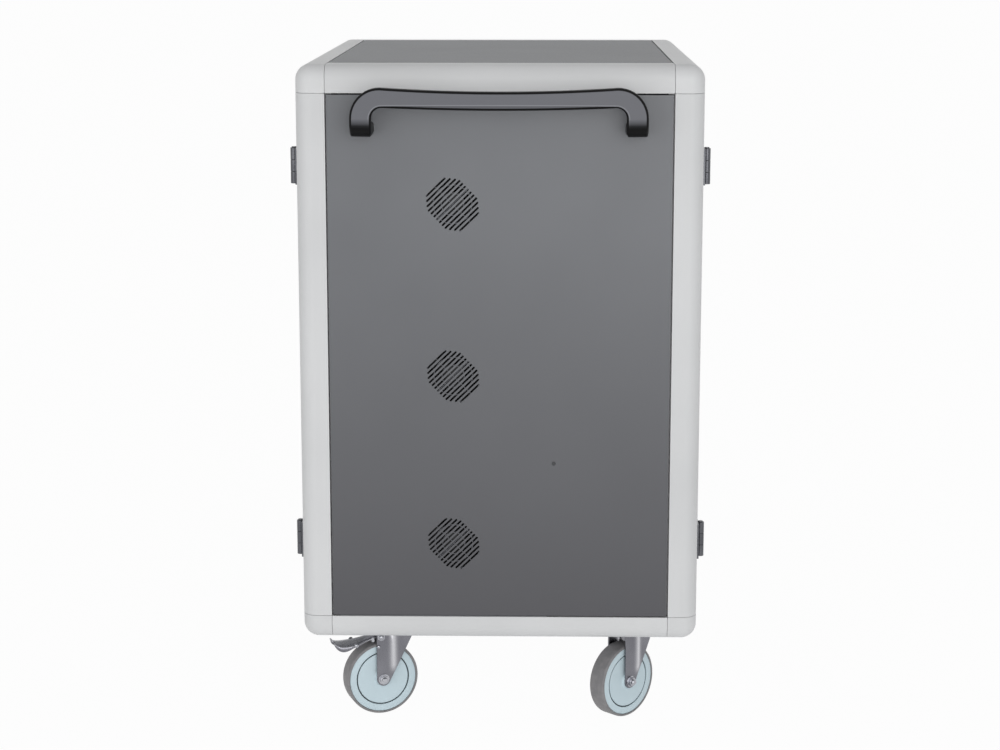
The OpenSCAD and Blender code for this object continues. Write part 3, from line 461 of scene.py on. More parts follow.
def handleStations(halfWidth, foot, top, faceY, reach):
    # Sections from the middle to one foot: the points outer-front, inner-front, outer-back and inner-back,
    # then how near the middle it is and how much painted light its face takes
    mm = 0.001
    legWidth, grip, deep = handle["legWidthMm"] * mm, handle["gripHeightMm"] * mm, handle["thicknessMm"] * mm
    bend, footBend, bow = handle["outerBendMm"] * mm, handle["footBendMm"] * mm, handle["bowMm"] * mm
    gripSteps, bendSteps, footSteps = handle["steps"]

    def outerY(x):
        return faceY - reach + bow * (x / halfWidth) ** 2

    def upright(outer, inner):
        return [Vector((x, outerY(x) + d, z)) for d in (0, deep) for x, z in (outer, inner)]

    rows = []
    straight = halfWidth - bend
    innerBend = bend - grip
    innerX = halfWidth - legWidth - innerBend
    for k in range(gripSteps + 1):
        x = straight * k / gripSteps
        high, low = (sag * mm * (1 - (k / gripSteps) ** 2) for sag in handle["sagMm"])
        rows.append((upright((x, top - high), (min(x, innerX), top - grip - low)), 1 - k / gripSteps, 1.0))
    for k in range(1, bendSteps + 1):
        turn = math.radians(90 - 90 / bendSteps * k)
        outer = (straight + bend * math.cos(turn), top - bend + bend * math.sin(turn))
        inner = (innerX + innerBend * math.cos(turn), top - bend + innerBend * math.sin(turn))
        rows.append((upright(outer, inner), 0.0, 1.0))
    sides = (halfWidth, halfWidth - legWidth)
    for k in range(1, footSteps + 1):
        turn = math.radians(90 / footSteps * k)
        section = []
        for radius in (footBend, footBend - deep):
            z = foot + footBend - radius * math.sin(turn)
            section += [Vector((x, outerY(x) + footBend - radius * math.cos(turn), z)) for x in sides]
        # painted shade: the painted light fades out as the foot turns down
        rows.append((section, 0.0, max(0.0, 0.85 - k / 2.6)))
    for share in (0.4, 1.0):
        section = []
        for z in (foot, foot + deep):
            for x in sides:
                start = outerY(x) + footBend
                section.append(Vector((x, start + (faceY - start) * share, z)))
        rows.append((section, 0.0, 0.0))
    return rows


def makeHandle(node, sideY):
    # Both ends use the near handle's box, mirrored for the far one
    low, high = nodeBox("near_handle")
    half = handleStations(high[0], low[2], high[2], high[1], high[1] - low[1])
    bm = bmesh.new()
    paintedLightLayer = bm.verts.layers.float.new("paintedLight")
    stations = half[:]
    for section, middle, lightShare in half[1:]:
        stations.insert(0, ([Vector((-p.x, p.y, p.z)) for p in section], middle, lightShare))
    rings, lightShares = [], []
    for (outerFront, innerFront, outerBack, innerBack), middle, lightShare in stations:
        a = (outerFront - innerFront).length / 2
        b = (outerFront - outerBack).length / 2
        ring = []
        for s, t, paintedLight in handleSection(a, b, 1 - (1 - middle) ** 2):
            u, v = (s / a + 1) / 2, (t / b + 1) / 2
            ring.append(innerBack.lerp(outerBack, u).lerp(innerFront.lerp(outerFront, u), v))
            lightShares.append(paintedLight * lightShare)
        rings.append(ring)
    rows = loft(bm, rings)
    # painted light and painted highlight, per vertex, for the handle's material to mix
    for vert, paintedLight in zip([v for row in rows for v in row], lightShares):
        vert[paintedLightLayer] = paintedLight
    faceOutwards(bm)
    mesh = toMesh(bm, node + "_bar", Matrix.Diagonal((1, sideY, 1, 1)), 40)
    placeStandIn(node + "_moulding", mesh, node, handleNylon)


makeHandle("near_handle", 1)
makeHandle("far_handle", -1)
print("Push handles moulded")

# Casters, shaped in each fork's own frame: swivel axis at the origin, wheel towards -X

caster = {
    "legOutMm": 21.4, "sheetMm": 3, "backMm": -34, "frontMm": 30, "topMm": 149.5,
    "shoulderMm": (30, 138.5), "axleMm": (-22, 62.5), "eyeMm": 12, "foldMm": 6, "edgeMm": 0.9,
    "ribMm": -6.5, "ribRiseMm": 2.4, "ribFallMm": 0.8,  # upright rib that stiffens each leg
    "ribHalfMm": (9, 11), "ribEndsMm": (78, 92, 137, 145),  # its widths, and the heights where it fades
    "highlightMm": (-5.0, 5.2), "highlightEndsMm": (72, 86),  # painted highlight band on the rib, and the heights where it fades in
    "pivotMm": (-26, 137), "pivotHoleMm": (4, 3.3), "kingpinHoleMm": 6.4,
    "columnsMm": (  # where a leg at its full width is divided
        -34, -30, -26, -22, -18, -15, -13, -11, -9, -6.5, -4, -1.5, 1, 3.5, 6.5, 11, 15, 19, 23, 27, 30,
    ),
    "rowsMm": (0, 4, 8, 12, 17, 23, 30, 37, 44, 51, 58, 64.5, 71, 78),  # heights over the axle
    "crownMm": (11, 6.5, 0, -6.5, -11),
    # Ball-race cup with its lining, and the eyelets of the brake pivot: radius, height over the metal
    "raceMm": ((6.06, -3), (9.6, -3), (9.6, -0.2), (25, -0.2), (25, 0.4), (24.6, 0.7), (6.06, 0.7)),
    "eyeletMm": ((3.06, -3.0), (6.6, -3.0), (6.6, 0.1), (6.2, 0.5), (3.5, 0.5), (3.06, 0.1)),
}
fastener = {
    "shankMm": 4.9, "washerMm": 9.4, "washerHighMm": 1.3, "nutMm": 7.6, "nutHighMm": 5,
    "boltMm": 4.4, "pitchMm": 0.9, "headMarkMm": 5,
    "pinPlaceMm": (-31.2, 120.5), "pinMm": 3.3, "pinRiseMm": 2.6,  # stop pin of a brake
}


def casterMatrix(corner):
    # From the fork's own frame to the row frame, read from its swivel and roll joints
    swivel = Vector(joints[corner + "_swivel"]["pos_m"])
    across = Vector(joints[corner + "_roll"]["axis"]).normalized()
    turn = math.atan2(across.x, -across.y)
    return Matrix.Translation((swivel.x, swivel.y, 0)) @ Matrix.Rotation(turn, 4, "Z")


def fadeIn(value, start, end):
    return min(1, max(0, (value - start) / (end - start)))


def legFrontX(z):
    # Front edge of a leg: upright shoulder, slope down to the eye, then the eye itself
    axleX, axleZ = caster["axleMm"]
    shoulderX, shoulderZ = caster["shoulderMm"]
    if z >= shoulderZ:
        return shoulderX
    reach = math.hypot(shoulderX - axleX, shoulderZ - axleZ)
    turn = math.atan2(shoulderZ - axleZ, shoulderX - axleX) - math.acos(caster["eyeMm"] / reach)
    tangentX, tangentZ = axleX + caster["eyeMm"] * math.cos(turn), axleZ + caster["eyeMm"] * math.sin(turn)
    if z >= tangentZ:
        return tangentX + (shoulderX - tangentX) * (z - tangentZ) / (shoulderZ - tangentZ)
    return axleX + math.sqrt(max(0.0, caster["eyeMm"] ** 2 - (z - axleZ) ** 2))


def legBackX(z):
    axleX, axleZ = caster["axleMm"]
    if z >= axleZ:
        return caster["backMm"]
    return axleX - math.sqrt(max(0.0, caster["eyeMm"] ** 2 - (z - axleZ) ** 2))


def ribRise(x, z):
    # Outward height of the pressed rib, fading out over the fold and above the eye
    lowest, low, high, highest = caster["ribEndsMm"]
    backHalf, frontHalf = caster["ribHalfMm"]
    rise, drop = caster["ribRiseMm"], caster["ribRiseMm"] + caster["ribFallMm"]
    along = x - caster["ribMm"]
    if along < 0:
        lift = rise * (0.5 + 0.5 * math.cos(math.pi * max(-1, along / backHalf)))
    else:
        lift = rise - drop * (0.5 - 0.5 * math.cos(math.pi * min(1, along / frontHalf)))
    return lift * fadeIn(z, lowest, low) * fadeIn(z, highest, high)


def forkPath():
    # Outer face of the bent strip as (y, z), from one eye over the crown to the other
    outer, fold, top = caster["legOutMm"], caster["foldMm"], caster["topMm"]
    axleZ = caster["axleMm"][1]
    heights = [axleZ - caster["eyeMm"] * math.cos(math.radians(a)) for a in (8, 25, 45, 65, 80)]
    heights += [axleZ + rise for rise in caster["rowsMm"]] + [top - fold]
    half = [(outer, z) for z in heights]
    for a in (18, 36, 54, 72, 90):
        turn = math.radians(a)
        half.append((outer - fold + fold * math.cos(turn), top - fold + fold * math.sin(turn)))
    return half + [(y, top) for y in caster["crownMm"]] + [(-y, z) for y, z in half[::-1]]


def makeFork(corner, braked):
    # One strip bent into legs and crown, with holes for the kingpin and the brake's pivot
    node = corner + "_fork"
    bm = bmesh.new()
    paintedHighlight = bm.verts.layers.float.new("paintedHighlight")
    outer, fold, top = caster["legOutMm"], caster["foldMm"], caster["topMm"]
    bandX, bandWide = caster["highlightMm"]
    rows = []
    for y, z in forkPath():
        back, front = legBackX(z), legFrontX(z)
        share = (front - back) / (caster["frontMm"] - caster["backMm"])
        row = []
        for column in caster["columnsMm"]:
            x = back + (column - caster["backMm"]) * share
            lift = ribRise(x, z) if abs(y) > outer - 0.01 else 0
            vert = bm.verts.new(Vector((x, y + math.copysign(lift, y), z)) / 1000)
            # painted highlight: a pale band along the crest of the rib
            near = math.exp(-((x - bandX) / bandWide) ** 2) if abs(y) > outer - fold else 0
            vert[paintedHighlight] = near * fadeIn(z, *caster["highlightEndsMm"])
            row.append(vert)
        rows.append(row)
    pivotX, pivotZ = caster["pivotMm"]
    holeX, holeZ = caster["pivotHoleMm"]
    kingpin = caster["kingpinHoleMm"]

    def isMetal(quad):
        x, y, z = sum((v.co for v in quad), Vector()) * (1000 / 4)
        onKingpin = z > top - 0.5 and abs(x) < kingpin and abs(y) < kingpin
        onPivot = braked and abs(x - pivotX) < holeX and abs(z - pivotZ) < holeZ
        return not onKingpin and not onPivot

    openSkin(bm, rows, isMetal)
    faceUpwards(bm, top / 1000 - 0.0005)
    matrix = casterMatrix(corner)
    piece = placeStandIn(node + "_pressing", toMesh(bm, node, matrix), node, pressedZinc)
    addSheet(piece, caster["sheetMm"])
    addRounding(piece, caster["edgeMm"], 3, 55)
    for suffix, makeMesh in (("_swivel_race", raceMesh), ("_axle_fasteners", fastenerMesh)):
        mesh = makeMesh(corner, matrix, braked)
        placePiece(corner + suffix, mesh, nodeBody[node], brightZinc)


def legSpot(spotMm, side):
    # A place on the outer face of one leg, and the way it faces
    x, z = metres([spotMm])[0]
    return (x, side * caster["legOutMm"] / 1000, z), (0, side, 0)


def raceMesh(corner, matrix, braked):
    # Ball-race cup pressed over the crown, its lining round the kingpin, and the eyelets of the brake pivot
    bm = bmesh.new()
    spin(bm, metres([(r, caster["topMm"] + z) for r, z in caster["raceMm"]]), 48)
    if braked:
        for side in (-1, 1):
            eyelet = bmesh.new()
            spin(eyelet, metres(caster["eyeletMm"]), 32)
            mergeInto(bm, eyelet, alongAxis(*legSpot(caster["pivotMm"], side)))
    return toMesh(bm, corner + "_race", matrix)


def fastenerMesh(corner, matrix, braked):
    # Axle bolt with washers, a hexagon nut with a threaded end, and the hexagon head on the far side
    bm = bmesh.new()
    shank, washer, base, nut, high, bolt, pitch, mark = (
        fastener[size + "Mm"] / 1000
        for size in ("shank", "washer", "washerHigh", "nut", "nutHigh", "bolt", "pitch", "headMark")
    )
    face = base + high
    for side in (-1, 1):
        part = bmesh.new()
        inner = -(caster["legOutMm"] + 0.2) / 1000 if side > 0 else -0.001
        disc(part, shank, inner, 0.0004, 32)
        disc(part, washer, 0.00005, base, 40, 0.0004)
        disc(part, nut, base, base + high * 0.8, 6)
        disc(part, nut * 0.93, base + high * 0.78, face, 36, 0.0005)
        if side < 0:
            thread = [(onAxis, 0.002)]
            for k in range(3):
                z = face + 0.0002 + pitch * k
                thread += [(bolt * 0.92, z), (bolt, z + 0.0004)]
            spin(part, thread + [(bolt * 0.8, face + 0.0034), (onAxis, face + 0.0036)], 32)
        else:
            disc(part, mark, face - 0.0002, face + 0.0003, 32, 0.0001)
        mergeInto(bm, part, alongAxis(*legSpot(caster["axleMm"], side)))
    if braked:
        pins = [legSpot(fastener["pinPlaceMm"], side) for side in (-1, 1)]
        mergeInto(bm, domes(pins, fastener["pinMm"], fastener["pinRiseMm"], 0.2))
    return toMesh(bm, corner + "_fasteners", matrix, 26)


wheel = {
    "radiusMm": 62.5, "seatMm": 58, "halfWidthMm": 16, "shoulderMm": 3.5,
    "boreMm": 5.06, "bossMm": 13.5, "bossFaceMm": 18, "discFaceMm": 14.2, "rimFaceMm": 15,
    "grooveMm": 46.4, "grooveWideMm": 2.2, "grooveDeepMm": 3.6,
}


def bothFaces(half):
    # A wheel's profile from the half on one side of its middle
    return metres(half + [(r, -z) for r, z in half[::-1]])


def makeWheel(corner):
    # Polypropylene centre with a groove round its cover disc, and the rubber band moulded over it
    axle = alongAxis((caster["axleMm"][0] / 1000, 0, caster["axleMm"][1] / 1000), (0, -1, 0))
    matrix = casterMatrix(corner) @ axle
    bore, boss, bossFace = wheel["boreMm"], wheel["bossMm"], wheel["bossFaceMm"]
    face, rim, seat = wheel["discFaceMm"], wheel["rimFaceMm"], wheel["seatMm"]
    groove, bottom = wheel["grooveMm"], rim - wheel["grooveDeepMm"]
    inner = groove - wheel["grooveWideMm"]
    centre = [
        (bore, bossFace), (boss - 1, bossFace), (boss, bossFace - 1), (boss + 0.6, face + 0.9),
        (boss + 2, face + 0.2), (boss + 5, face), (groove - 3, face + 0.5), (inner - 0.5, face + 0.5),
        (inner, face), (inner + 0.1, bottom), (groove - 0.1, bottom), (groove, rim - 0.5),
        (groove + 0.5, rim), (seat - 1.2, rim), (seat - 0.3, rim - 0.4), (seat, rim - 1.2),
    ]
    bm = bmesh.new()
    grooveShade = bm.verts.layers.float.new("grooveShade")
    spin(bm, bothFaces(centre), 96)
    # painted shade in the groove round the cover disc
    for vert in bm.verts:
        inGroove = inner - 0.3 < vert.co.xy.length * 1000 < groove + 0.2
        vert[grooveShade] = 1.0 if inGroove and abs(vert.co.z) * 1000 < rim - 0.8 else 0.0
    faceOutwards(bm)
    placeStandIn(corner + "_wheel_centre", toMesh(bm, corner + "_hub", matrix), corner + "_hub")
    shoulder, side = wheel["shoulderMm"], wheel["halfWidthMm"]
    bendR, bendZ = wheel["radiusMm"] - shoulder, side - shoulder
    tread = [(seat + 0.06, side - 1.4), (seat + 0.5, side - 0.35)]
    for k in range(8):
        turn = math.radians(90 - 90 * k / 7)
        tread.append((bendR + shoulder * math.cos(turn), bendZ + shoulder * math.sin(turn)))
    bm = bmesh.new()
    spin(bm, bothFaces(tread), 96)
    faceOutwards(bm)
    placeStandIn(corner + "_tyre", toMesh(bm, corner + "_tread", matrix), corner + "_tread")


pedal = {
    "tiltDegrees": 11, "sheetMm": 2.2, "sleeveMm": 5.9, "halfSleeveMm": 18.0, "coilPitchMm": 2.4,
    "rows": (  # distance from the pivot, half width, depth of the sides, rise of the back
        (2, 14, 0.5, 0), (14, 13.5, 1.5, 0.2), (24, 13.5, 3, 0.2), (32, 15, 4, 0), (40, 17.5, 5, -0.5),
        (46, 19.2, 4.5, -0.2), (52, 20, 6, 0.5), (58, 20, 8.5, 1.2), (66, 20, 10.5, 2.8),
        (72, 19.4, 10.5, 4.8), (76.5, 17.5, 10, 7.8), (79.5, 14.5, 8, 11), (80.5, 11, 6, 14),
    ),
    "screwMm": 4.2, "screwRiseMm": 2.8, "screwPlaceMm": (44, 18.6, -2.5),  # on both sides of the scoop
    "shaftMm": 3, "headMm": 4.6,
    "shoeMm": (11, 16, 7), "shoeWideMm": 28.8,  # block that presses on the tread, from, to and depth
}


def scoopMesh(node, matrix):
    # Drawn pedal: a shell with rolled sides that widens and dips towards the toe
    bm = bmesh.new()
    paintedHighlight = bm.verts.layers.float.new("paintedHighlight")
    rows = []
    for along, half, deep, rise in pedal["rows"]:
        profile = [(-half, rise - deep), (-half, rise - deep * 0.55), (-half + 0.6, rise - deep * 0.25)]
        profile += [(-half + 2.6, rise + 0.4), (-half * 0.55, rise + 1.6), (0, rise + 2.2)]
        profile += [(-y, z) for y, z in profile[4::-1]]
        row = []
        for y, z in profile:
            vert = bm.verts.new(Vector((-along, y, z)) / 1000)
            # painted highlight along the top of the rolled sides
            vert[paintedHighlight] = 0.75 * math.exp(-((z - rise - 0.4) / 2.2) ** 2)
            row.append(vert)
        rows.append(row)
    openSkin(bm, rows)
    faceUpwards(bm)
    return toMesh(bm, node, matrix, 60)


def springMesh(node, matrix):
    # Spring round the shaft, the shaft's ends with their heads, two set screws and the shoe
    bm = bmesh.new()
    sleeve, half, pitch = pedal["sleeveMm"] / 1000, pedal["halfSleeveMm"] / 1000, pedal["coilPitchMm"] / 1000
    coils = [(onAxis, -half), (sleeve * 0.9, -half), (sleeve * 0.9, -half + 0.003)]
    for k in range(int((2 * half - 0.008) / pitch)):
        base = -half + 0.004 + k * pitch
        coils += [(sleeve * 0.78, base), (sleeve * 0.94, base + pitch * 0.2)]
        coils += [(sleeve, base + pitch * 0.5), (sleeve * 0.94, base + pitch * 0.8)]
    spin(bm, coils + [(sleeve * 0.9, half - 0.003), (sleeve * 0.9, half), (onAxis, half)], 32)
    shaft, head, outer = pedal["shaftMm"] / 1000, pedal["headMm"] / 1000, caster["legOutMm"] / 1000
    disc(bm, shaft, -outer - 0.001, outer + 0.001, 24)
    dome = [(onAxis, 0.0034), (head * 0.5, 0.0031), (head * 0.85, 0.0023)]
    dome += [(head, 0.0012), (head, 0.0006), (onAxis, 0.0006)]
    for side in (-1, 1):
        spin(bm, [(r, side * (outer + z)) for r, z in dome], 32)
    bmesh.ops.transform(bm, verts=bm.verts, matrix=Matrix.Rotation(math.radians(90), 4, "X"))
    along, out, rise = (value / 1000 for value in pedal["screwPlaceMm"])
    screws = [((-along, side * out, rise), (0, side, 0)) for side in (-1, 1)]
    mergeInto(bm, domes(screws, pedal["screwMm"], pedal["screwRiseMm"]))
    near, far, deep = (value / 1000 for value in pedal["shoeMm"])
    size = (far - near, pedal["shoeWideMm"] / 1000, deep + 0.0008)
    mergeInto(bm, block((-(near + far) / 2, 0, 0.0004 - deep / 2), size, 0.0007))
    faceOutwards(bm)
    return toMesh(bm, node + "_spring", matrix)


def makePedal(corner):
    node = corner + "_brake"
    pivotX, pivotZ = caster["pivotMm"]
    tilt = Matrix.Rotation(math.radians(-pedal["tiltDegrees"]), 4, "Y")
    matrix = casterMatrix(corner) @ Matrix.Translation((pivotX / 1000, 0, pivotZ / 1000)) @ tilt
    piece = placeStandIn(node + "_scoop", scoopMesh(node, matrix), node, pressedZinc)
    smooth = piece.modifiers.new("drawn", "SUBSURF")
    smooth.levels = smooth.render_levels = 2
    addSheet(piece, pedal["sheetMm"])
    placePiece(node + "_spring", springMesh(node, matrix), nodeBody[node], brightZinc)


for corner in corners:
    braked = corner.startswith("front")
    makeFork(corner, braked)
    makeWheel(corner)
    if braked:
        makePedal(corner)
print("Casters pressed and moulded")

# Fans behind the grilles: wire guards and rotors with twisted blades

fan = {
    "faceMm": -423.5,  # inner face of the near end panel, which the guards lie on
    "wireMm": 0.8, "ringsMm": (57, 44, 31, 18), "screwMm": 52.5, "eyeletMm": (2.3, 4.2),
    "blades": 7, "rootMm": 18.5, "tipMm": 52, "rootChordMm": 17, "tipChordMm": 23,
    "rootPitchDegrees": 50, "tipPitchDegrees": 27, "bladeMm": 1.5, "sweepDegrees": 14,
    "hubMm": 20, "hubLowMm": 4.6, "hubHighMm": 22.6, "axleMm": 2.06, "bladeMiddleMm": 13.6,
    "sectionPoints": (  # share of the chord and of the thickness, round one blade section
        (-0.5, 0.15), (-0.25, 0.5), (0, 0.6), (0.25, 0.45),
        (0.5, 0.1), (0.25, -0.25), (0, -0.35), (-0.25, -0.3),
    ),
}


def guardBmesh():
    # Four rings welded to two crossed wires that end in screw eyelets
    bm = bmesh.new()
    wire, reach = fan["wireMm"] / 1000, fan["screwMm"] / 1000
    turns = [math.radians(a) for a in range(0, 360, 45)]
    for radius in fan["ringsMm"]:
        spin(bm, [(radius / 1000 + wire * math.cos(a), wire + wire * math.sin(a)) for a in turns], 72)
    hole, rim = fan["eyeletMm"]
    for turn in (1, -1):
        first = Vector((-reach, -reach * turn, wire))
        span = Vector((reach, reach * turn, wire)) - first
        cross = bmesh.new()
        disc(cross, wire * 0.9, 0, span.length, 10)
        mergeInto(bm, cross, alongAxis(first, span))
        for side in (-1, 1):
            eyelet = bmesh.new()
            spin(eyelet, metres([(hole, 0.1), (rim, 0.1), (rim, 1.5), (hole, 1.5)]), 24)
            mergeInto(bm, eyelet, Matrix.Translation((side * reach, side * reach * turn, 0)))
    return bm


def bladeRing(turn, share):
    # Section of a blade at a share of the way from root to tip, wrapped round the fan's axis
    def between(root, tip):
        return fan[root] + (fan[tip] - fan[root]) * share

    radius, chord = between("rootMm", "tipMm") / 1000, between("rootChordMm", "tipChordMm") / 1000
    pitch = math.radians(between("rootPitchDegrees", "tipPitchDegrees"))
    swept = turn + math.radians(fan["sweepDegrees"]) * share ** 1.5
    ring = []
    for along, thick in fan["sectionPoints"]:
        run = along * chord
        camber = 0.08 * chord * (1 - 4 * along * along)
        lift = camber + thick * fan["bladeMm"] / 1000
        angle = swept + (run * math.cos(pitch) - lift * math.sin(pitch)) / radius
        axial = run * math.sin(pitch) + lift * math.cos(pitch)
        height = fan["bladeMiddleMm"] / 1000 + axial * 0.8
        ring.append(Vector((radius * math.cos(angle), radius * math.sin(angle), height)))
    return ring


def makeRotor(level, matrix):
    node = level + "_fan_rotor"
    bm = bmesh.new()
    low, high, hub, axle = (fan[key] / 1000 for key in ("hubLowMm", "hubHighMm", "hubMm", "axleMm"))
    cup = [(onAxis, low), (hub * 0.55, low), (hub * 0.6, low + 0.0005), (hub - 0.002, low + 0.0005)]
    cup += [(hub - 0.0006, low + 0.001), (hub, low + 0.0025), (hub, high), (hub - 0.002, high)]
    cup += [(hub - 0.002, low + 0.005), (axle + 0.004, low + 0.005), (axle + 0.003, high - 0.004)]
    cup += [(axle, high - 0.004), (axle, low + 0.0016), (onAxis, low + 0.0016)]
    spin(bm, cup, 48)
    for k in range(fan["blades"]):
        loft(bm, [bladeRing(2 * math.pi * k / fan["blades"], i / 6) for i in range(7)])
    faceOutwards(bm)
    placeStandIn(node + "_impeller", toMesh(bm, node, matrix), node, fanPlastic)


guards = bmesh.new()
for level in levels:
    spot = joints[level + "_fan_spin"]["pos_m"]
    facing = Matrix.Rotation(math.radians(-90), 4, "X")
    matrix = Matrix.Translation((spot[0], fan["faceMm"] / 1000, spot[2])) @ facing
    makeRotor(level, matrix)
    mergeInto(guards, guardBmesh(), matrix)
faceOutwards(guards)
placeStandIn("fan_guards_wire", toMesh(guards, "fan_guards"), "fan_guards", paintedWire)
print("Fans assembled")

# Small fittings: rivet heads, hinge screws, key plugs and inlet pins

fitting = {
    "rivetMm": 3.1, "rivetRiseMm": 1.1, "rivetPlaceMm": (88, 425.8, 460),
    "screwHeadMm": 3.6, "screwRiseMm": 0.7, "screwOffMm": 13, "screwSpreadMm": 19,
    "hingeHighMm": 58, "leafFaceMm": -3.5,  # outer face of a leaf, from the hinge's axis
    "keyMm": 4.7, "keySlotMm": 1.1,
    "pinSpotsMm": ((-7, -1), (0, 2), (7, -1)), "pinMm": (2.3, 12.6, 6.2), "pinMiddleMm": 416.4,
}


def screwSpots(corner, onPost):
    # Two screws in each hinge leaf, on the face of the post or of the door
    hinge = Vector(joints[corner + "_door_hinge"]["pos_m"])
    sideX, sideY = math.copysign(1, hinge.x), math.copysign(1, hinge.y)
    low, high = nodeBox(corner + "_hinge_leaves")
    faceX = sideX * (abs(hinge.x) + fitting["leafFaceMm"] / 1000)
    away = fitting["screwOffMm"] / 1000 * (1 if onPost else -1)
    half, spread = fitting["hingeHighMm"] / 2000, fitting["screwSpreadMm"] / 1000
    heights = [z + up * spread for z in (low[2] + half, high[2] - half) for up in (-1, 1)]
    return [((faceX, hinge.y + sideY * away, z), (sideX, 0, 0)) for z in heights]


def placeScrews(name, spots, body):
    heads = toMesh(domes(spots, fitting["screwHeadMm"], fitting["screwRiseMm"]), name)
    placePiece(name, heads, body, screwSteel)


def makeKeyPlug(side, lock):
    # Turned plug of the key barrel, with its slot left between two half discs
    axis = Vector(joints[lock + "_turn"]["pos_m"])
    low, high = nodeBox(lock + "_lever")
    face = max(abs(low[0]), abs(high[0]))
    bm = bmesh.new()
    radius, gap = fitting["keyMm"] / 1000, fitting["keySlotMm"] / 2000
    tiers = ((1, -0.0012), (1, -0.0002), (0.95, 0.0))  # size and height
    for half in (-1, 1):
        points = []
        for k in range(17):
            turn = math.radians(-90 + 180 * k / 16)
            x = half * (gap + (radius - gap) * math.cos(turn))
            points.append(Vector((x, radius * 0.97 * math.sin(turn), 0)))
        loft(bm, [[p * size + Vector((0, 0, z)) for p in points] for size, z in tiers])
    faceOutwards(bm)
    mesh = toMesh(bm, lock + "_key", alongAxis((side * face, axis.y, axis.z), (side, 0, 0)))
    placePiece(lock + "_key_plug", mesh, lock, brightZinc)


def makeInletPins():
    # Three flat contacts, the earth pin higher than the other two
    low, high = nodeBox("power_inlet")
    middleX, middleZ = (low[0] + high[0]) / 2, (low[2] + high[2]) / 2
    bm = bmesh.new()
    for x, rise in metres(fitting["pinSpotsMm"]):
        middle = (middleX + x, fitting["pinMiddleMm"] / 1000, middleZ + rise)
        mergeInto(bm, block(middle, [value / 1000 for value in fitting["pinMm"]], 0.0005))
    placePiece("power_inlet_pins", toMesh(bm, "inlet_pins"), "cabinet", contactBrass)


rivetX, rivetY, rivetZ = (value / 1000 for value in fitting["rivetPlaceMm"])
rivets = [((rivetX, side * rivetY, rivetZ), (0, side, 0)) for side in (-1, 1)]
rivetMesh = toMesh(domes(rivets, fitting["rivetMm"], fitting["rivetRiseMm"], 0.28), "rivets")
placePiece("partition_rivet_heads", rivetMesh, "cabinet", finish["black_steel"])
postScrews = []
for corner in corners:
    postScrews += screwSpots(corner, True)
    placeScrews(corner + "_hinge_screws", screwSpots(corner, False), corner + "_door")
placeScrews("post_hinge_screws", postScrews, "cabinet")
makeKeyPlug(-1, "front_lock")
makeKeyPlug(1, "rear_lock")
makeInletPins()
print("Small fittings placed")

# The two end panels show as packed, and the nodes that stand-ins hide have a finish too
for name, node in frame["nodes"].items():
    node.data.materials.clear()
    node.data.materials.append(endPaint if name.endswith("end_panel") else finish[nodeSlot[name]])

# Floor, light and camera

studio = {
    "floorSize": 120.0,
    "floorColour": "#f4f4f4",
    "floorGlow": 0.965,  # share of the floor that shows as plain white to the camera
    "floorBounce": 0.38,  # the share that lights the cart from below, as a lit sweep does
    "ambient": (0.42, 0.87, 0.85),  # from the sides, from the camera's side, and from behind
    "frontBand": (0.0, 0.9), "backBand": (-0.9, -0.1),  # where one passes into the other, -1 is behind
    "zenithShare": 0.35, "zenithFrom": 0.25,  # how much comes from straight above, and where it starts
    "aim": (0, 0, 0.55),
    "keyPlace": (1.3, -5.0, 1.5), "keySize": 3.0, "keyPower": 66,
    "fillPlace": (-2.6, -4.3, 0.7), "fillSize": 3.0, "fillPower": 38,
    "topPlace": (0.2, -0.6, 3.6), "topSize": 2.6, "topPower": 5,
}


def seenDirectly(tree):
    # 1 for camera, glossy and transmission rays, so that metal shows the same white as the camera sees
    kinds = ("Is Camera Ray", "Is Transmission Ray", "Is Glossy Ray")
    camera, through, mirrored = (addNode(tree, "ShaderNodeLightPath", output=kind) for kind in kinds)
    direct = addNode(tree, "ShaderNodeMath", [camera, through], operation="MAXIMUM")
    return addNode(tree, "ShaderNodeMath", [direct, mirrored], operation="MAXIMUM")


def makeFloor():
    bm = bmesh.new()
    bmesh.ops.create_grid(bm, x_segments=8, y_segments=8, size=studio["floorSize"] / 2)
    floor = bpy.data.objects.new("studioFloor", toMesh(bm, "studioFloor"))
    bpy.context.scene.collection.objects.link(floor)
    material, tree, shader, _ = startMaterial("paperSweep", {"Roughness": 0.9})
    shader.inputs["Base Color"].default_value = hexColour(studio["floorColour"])
    glow = addNode(tree, "ShaderNodeEmission", {"Color": (1, 1, 1, 1), "Strength": 1.0})
    shares = [seenDirectly(tree), 0, 1, studio["floorBounce"], studio["floorGlow"]]
    share = addNode(tree, "ShaderNodeMapRange", shares)
    both = addNode(tree, "ShaderNodeMixShader", [share, shader.outputs["BSDF"], glow])
    tree.links.new(both, tree.nodes["Material Output"].inputs["Surface"])
    floor.data.materials.append(material)


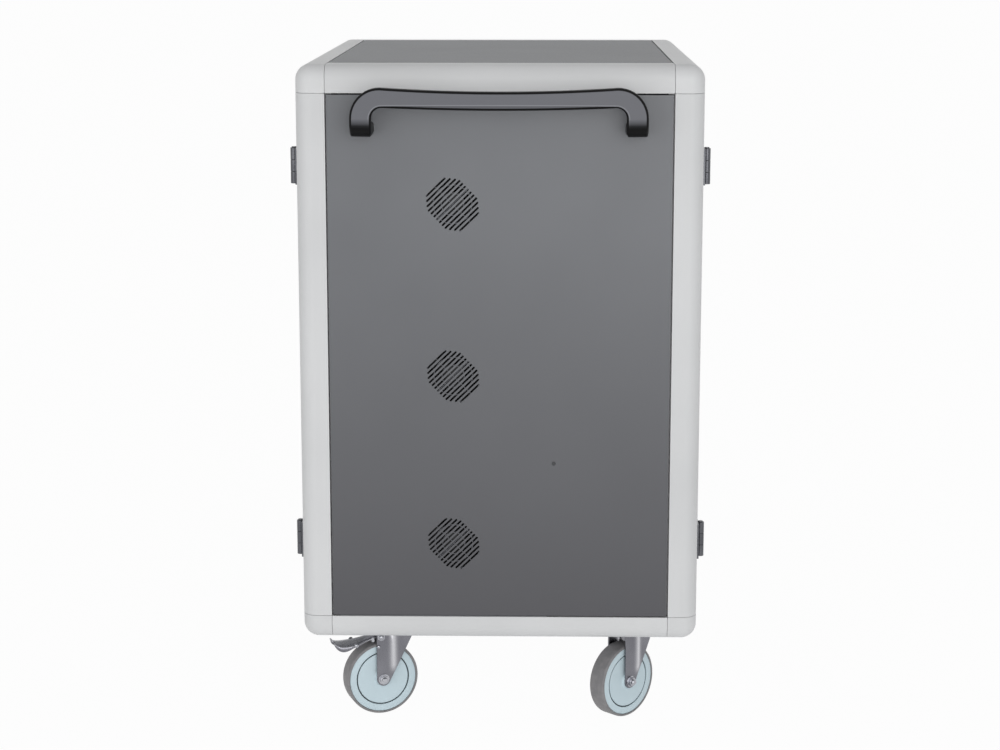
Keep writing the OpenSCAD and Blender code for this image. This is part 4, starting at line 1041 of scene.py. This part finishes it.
def makeWorld():
    # Soft light all round, strongest from the camera's side and from behind
    world = bpy.data.worlds.new("studioAir")
    bpy.context.scene.world = world
    world.use_nodes = True
    tree = world.node_tree
    background = tree.nodes["Background"]
    direction = addNode(tree, "ShaderNodeTexCoord", output="Generated")
    toCamera = [direction, (0, -1, 0)]
    ahead = addNode(tree, "ShaderNodeVectorMath", toCamera, "Value", operation="DOT_PRODUCT")
    sides, front, back = studio["ambient"]
    near = addNode(tree, "ShaderNodeMapRange", [ahead, *studio["frontBand"], sides, front])
    far = addNode(tree, "ShaderNodeMapRange", [ahead, *studio["backBand"], back, sides])
    around = addNode(tree, "ShaderNodeMath", [near, far], operation="MAXIMUM")
    height = addNode(tree, "ShaderNodeSeparateXYZ", [direction], "Z")
    dimming = addNode(tree, "ShaderNodeMapRange", [height, studio["zenithFrom"], 1, 1, studio["zenithShare"]])
    soft = addNode(tree, "ShaderNodeMath", [around, dimming], operation="MULTIPLY")
    strength = addNode(tree, "ShaderNodeMapRange", [seenDirectly(tree), 0, 1, soft, 1])
    background.inputs["Color"].default_value = (1, 1, 1, 1)
    tree.links.new(strength, background.inputs["Strength"])


def addSoftbox(name, place, size, power):
    light = bpy.data.lights.new(name, "AREA")
    light.shape = "SQUARE"
    light.size = size
    light.energy = power
    lamp = bpy.data.objects.new(name, light)
    bpy.context.scene.collection.objects.link(lamp)
    lamp.location = place
    lamp.rotation_euler = (Vector(studio["aim"]) - Vector(place)).to_track_quat("-Z", "Y").to_euler()


view = {
    "place": (0.0704, -4.0062, 1.3123),
    "pitchDegrees": 11.145,  # below the horizon
    "yawDegrees": 1.115,
    "focalPixels": 2260.7, "photoWidth": 1000, "sensorMm": 36,
}


def makeCamera():
    data = bpy.data.cameras.new("photoCamera")
    data.sensor_width = view["sensorMm"]
    data.lens = view["focalPixels"] / view["photoWidth"] * view["sensorMm"]
    camera = bpy.data.objects.new("photoCamera", data)
    bpy.context.scene.collection.objects.link(camera)
    camera.location = view["place"]
    camera.rotation_euler = (math.radians(90 - view["pitchDegrees"]), 0, math.radians(view["yawDegrees"]))
    bpy.context.scene.camera = camera


makeFloor()
makeWorld()
for side in ("key", "fill", "top"):
    addSoftbox(side + "Softbox", studio[side + "Place"], studio[side + "Size"], studio[side + "Power"])
makeCamera()
bpy.context.scene.view_settings.view_transform = "Standard"
print("Studio and camera ready")
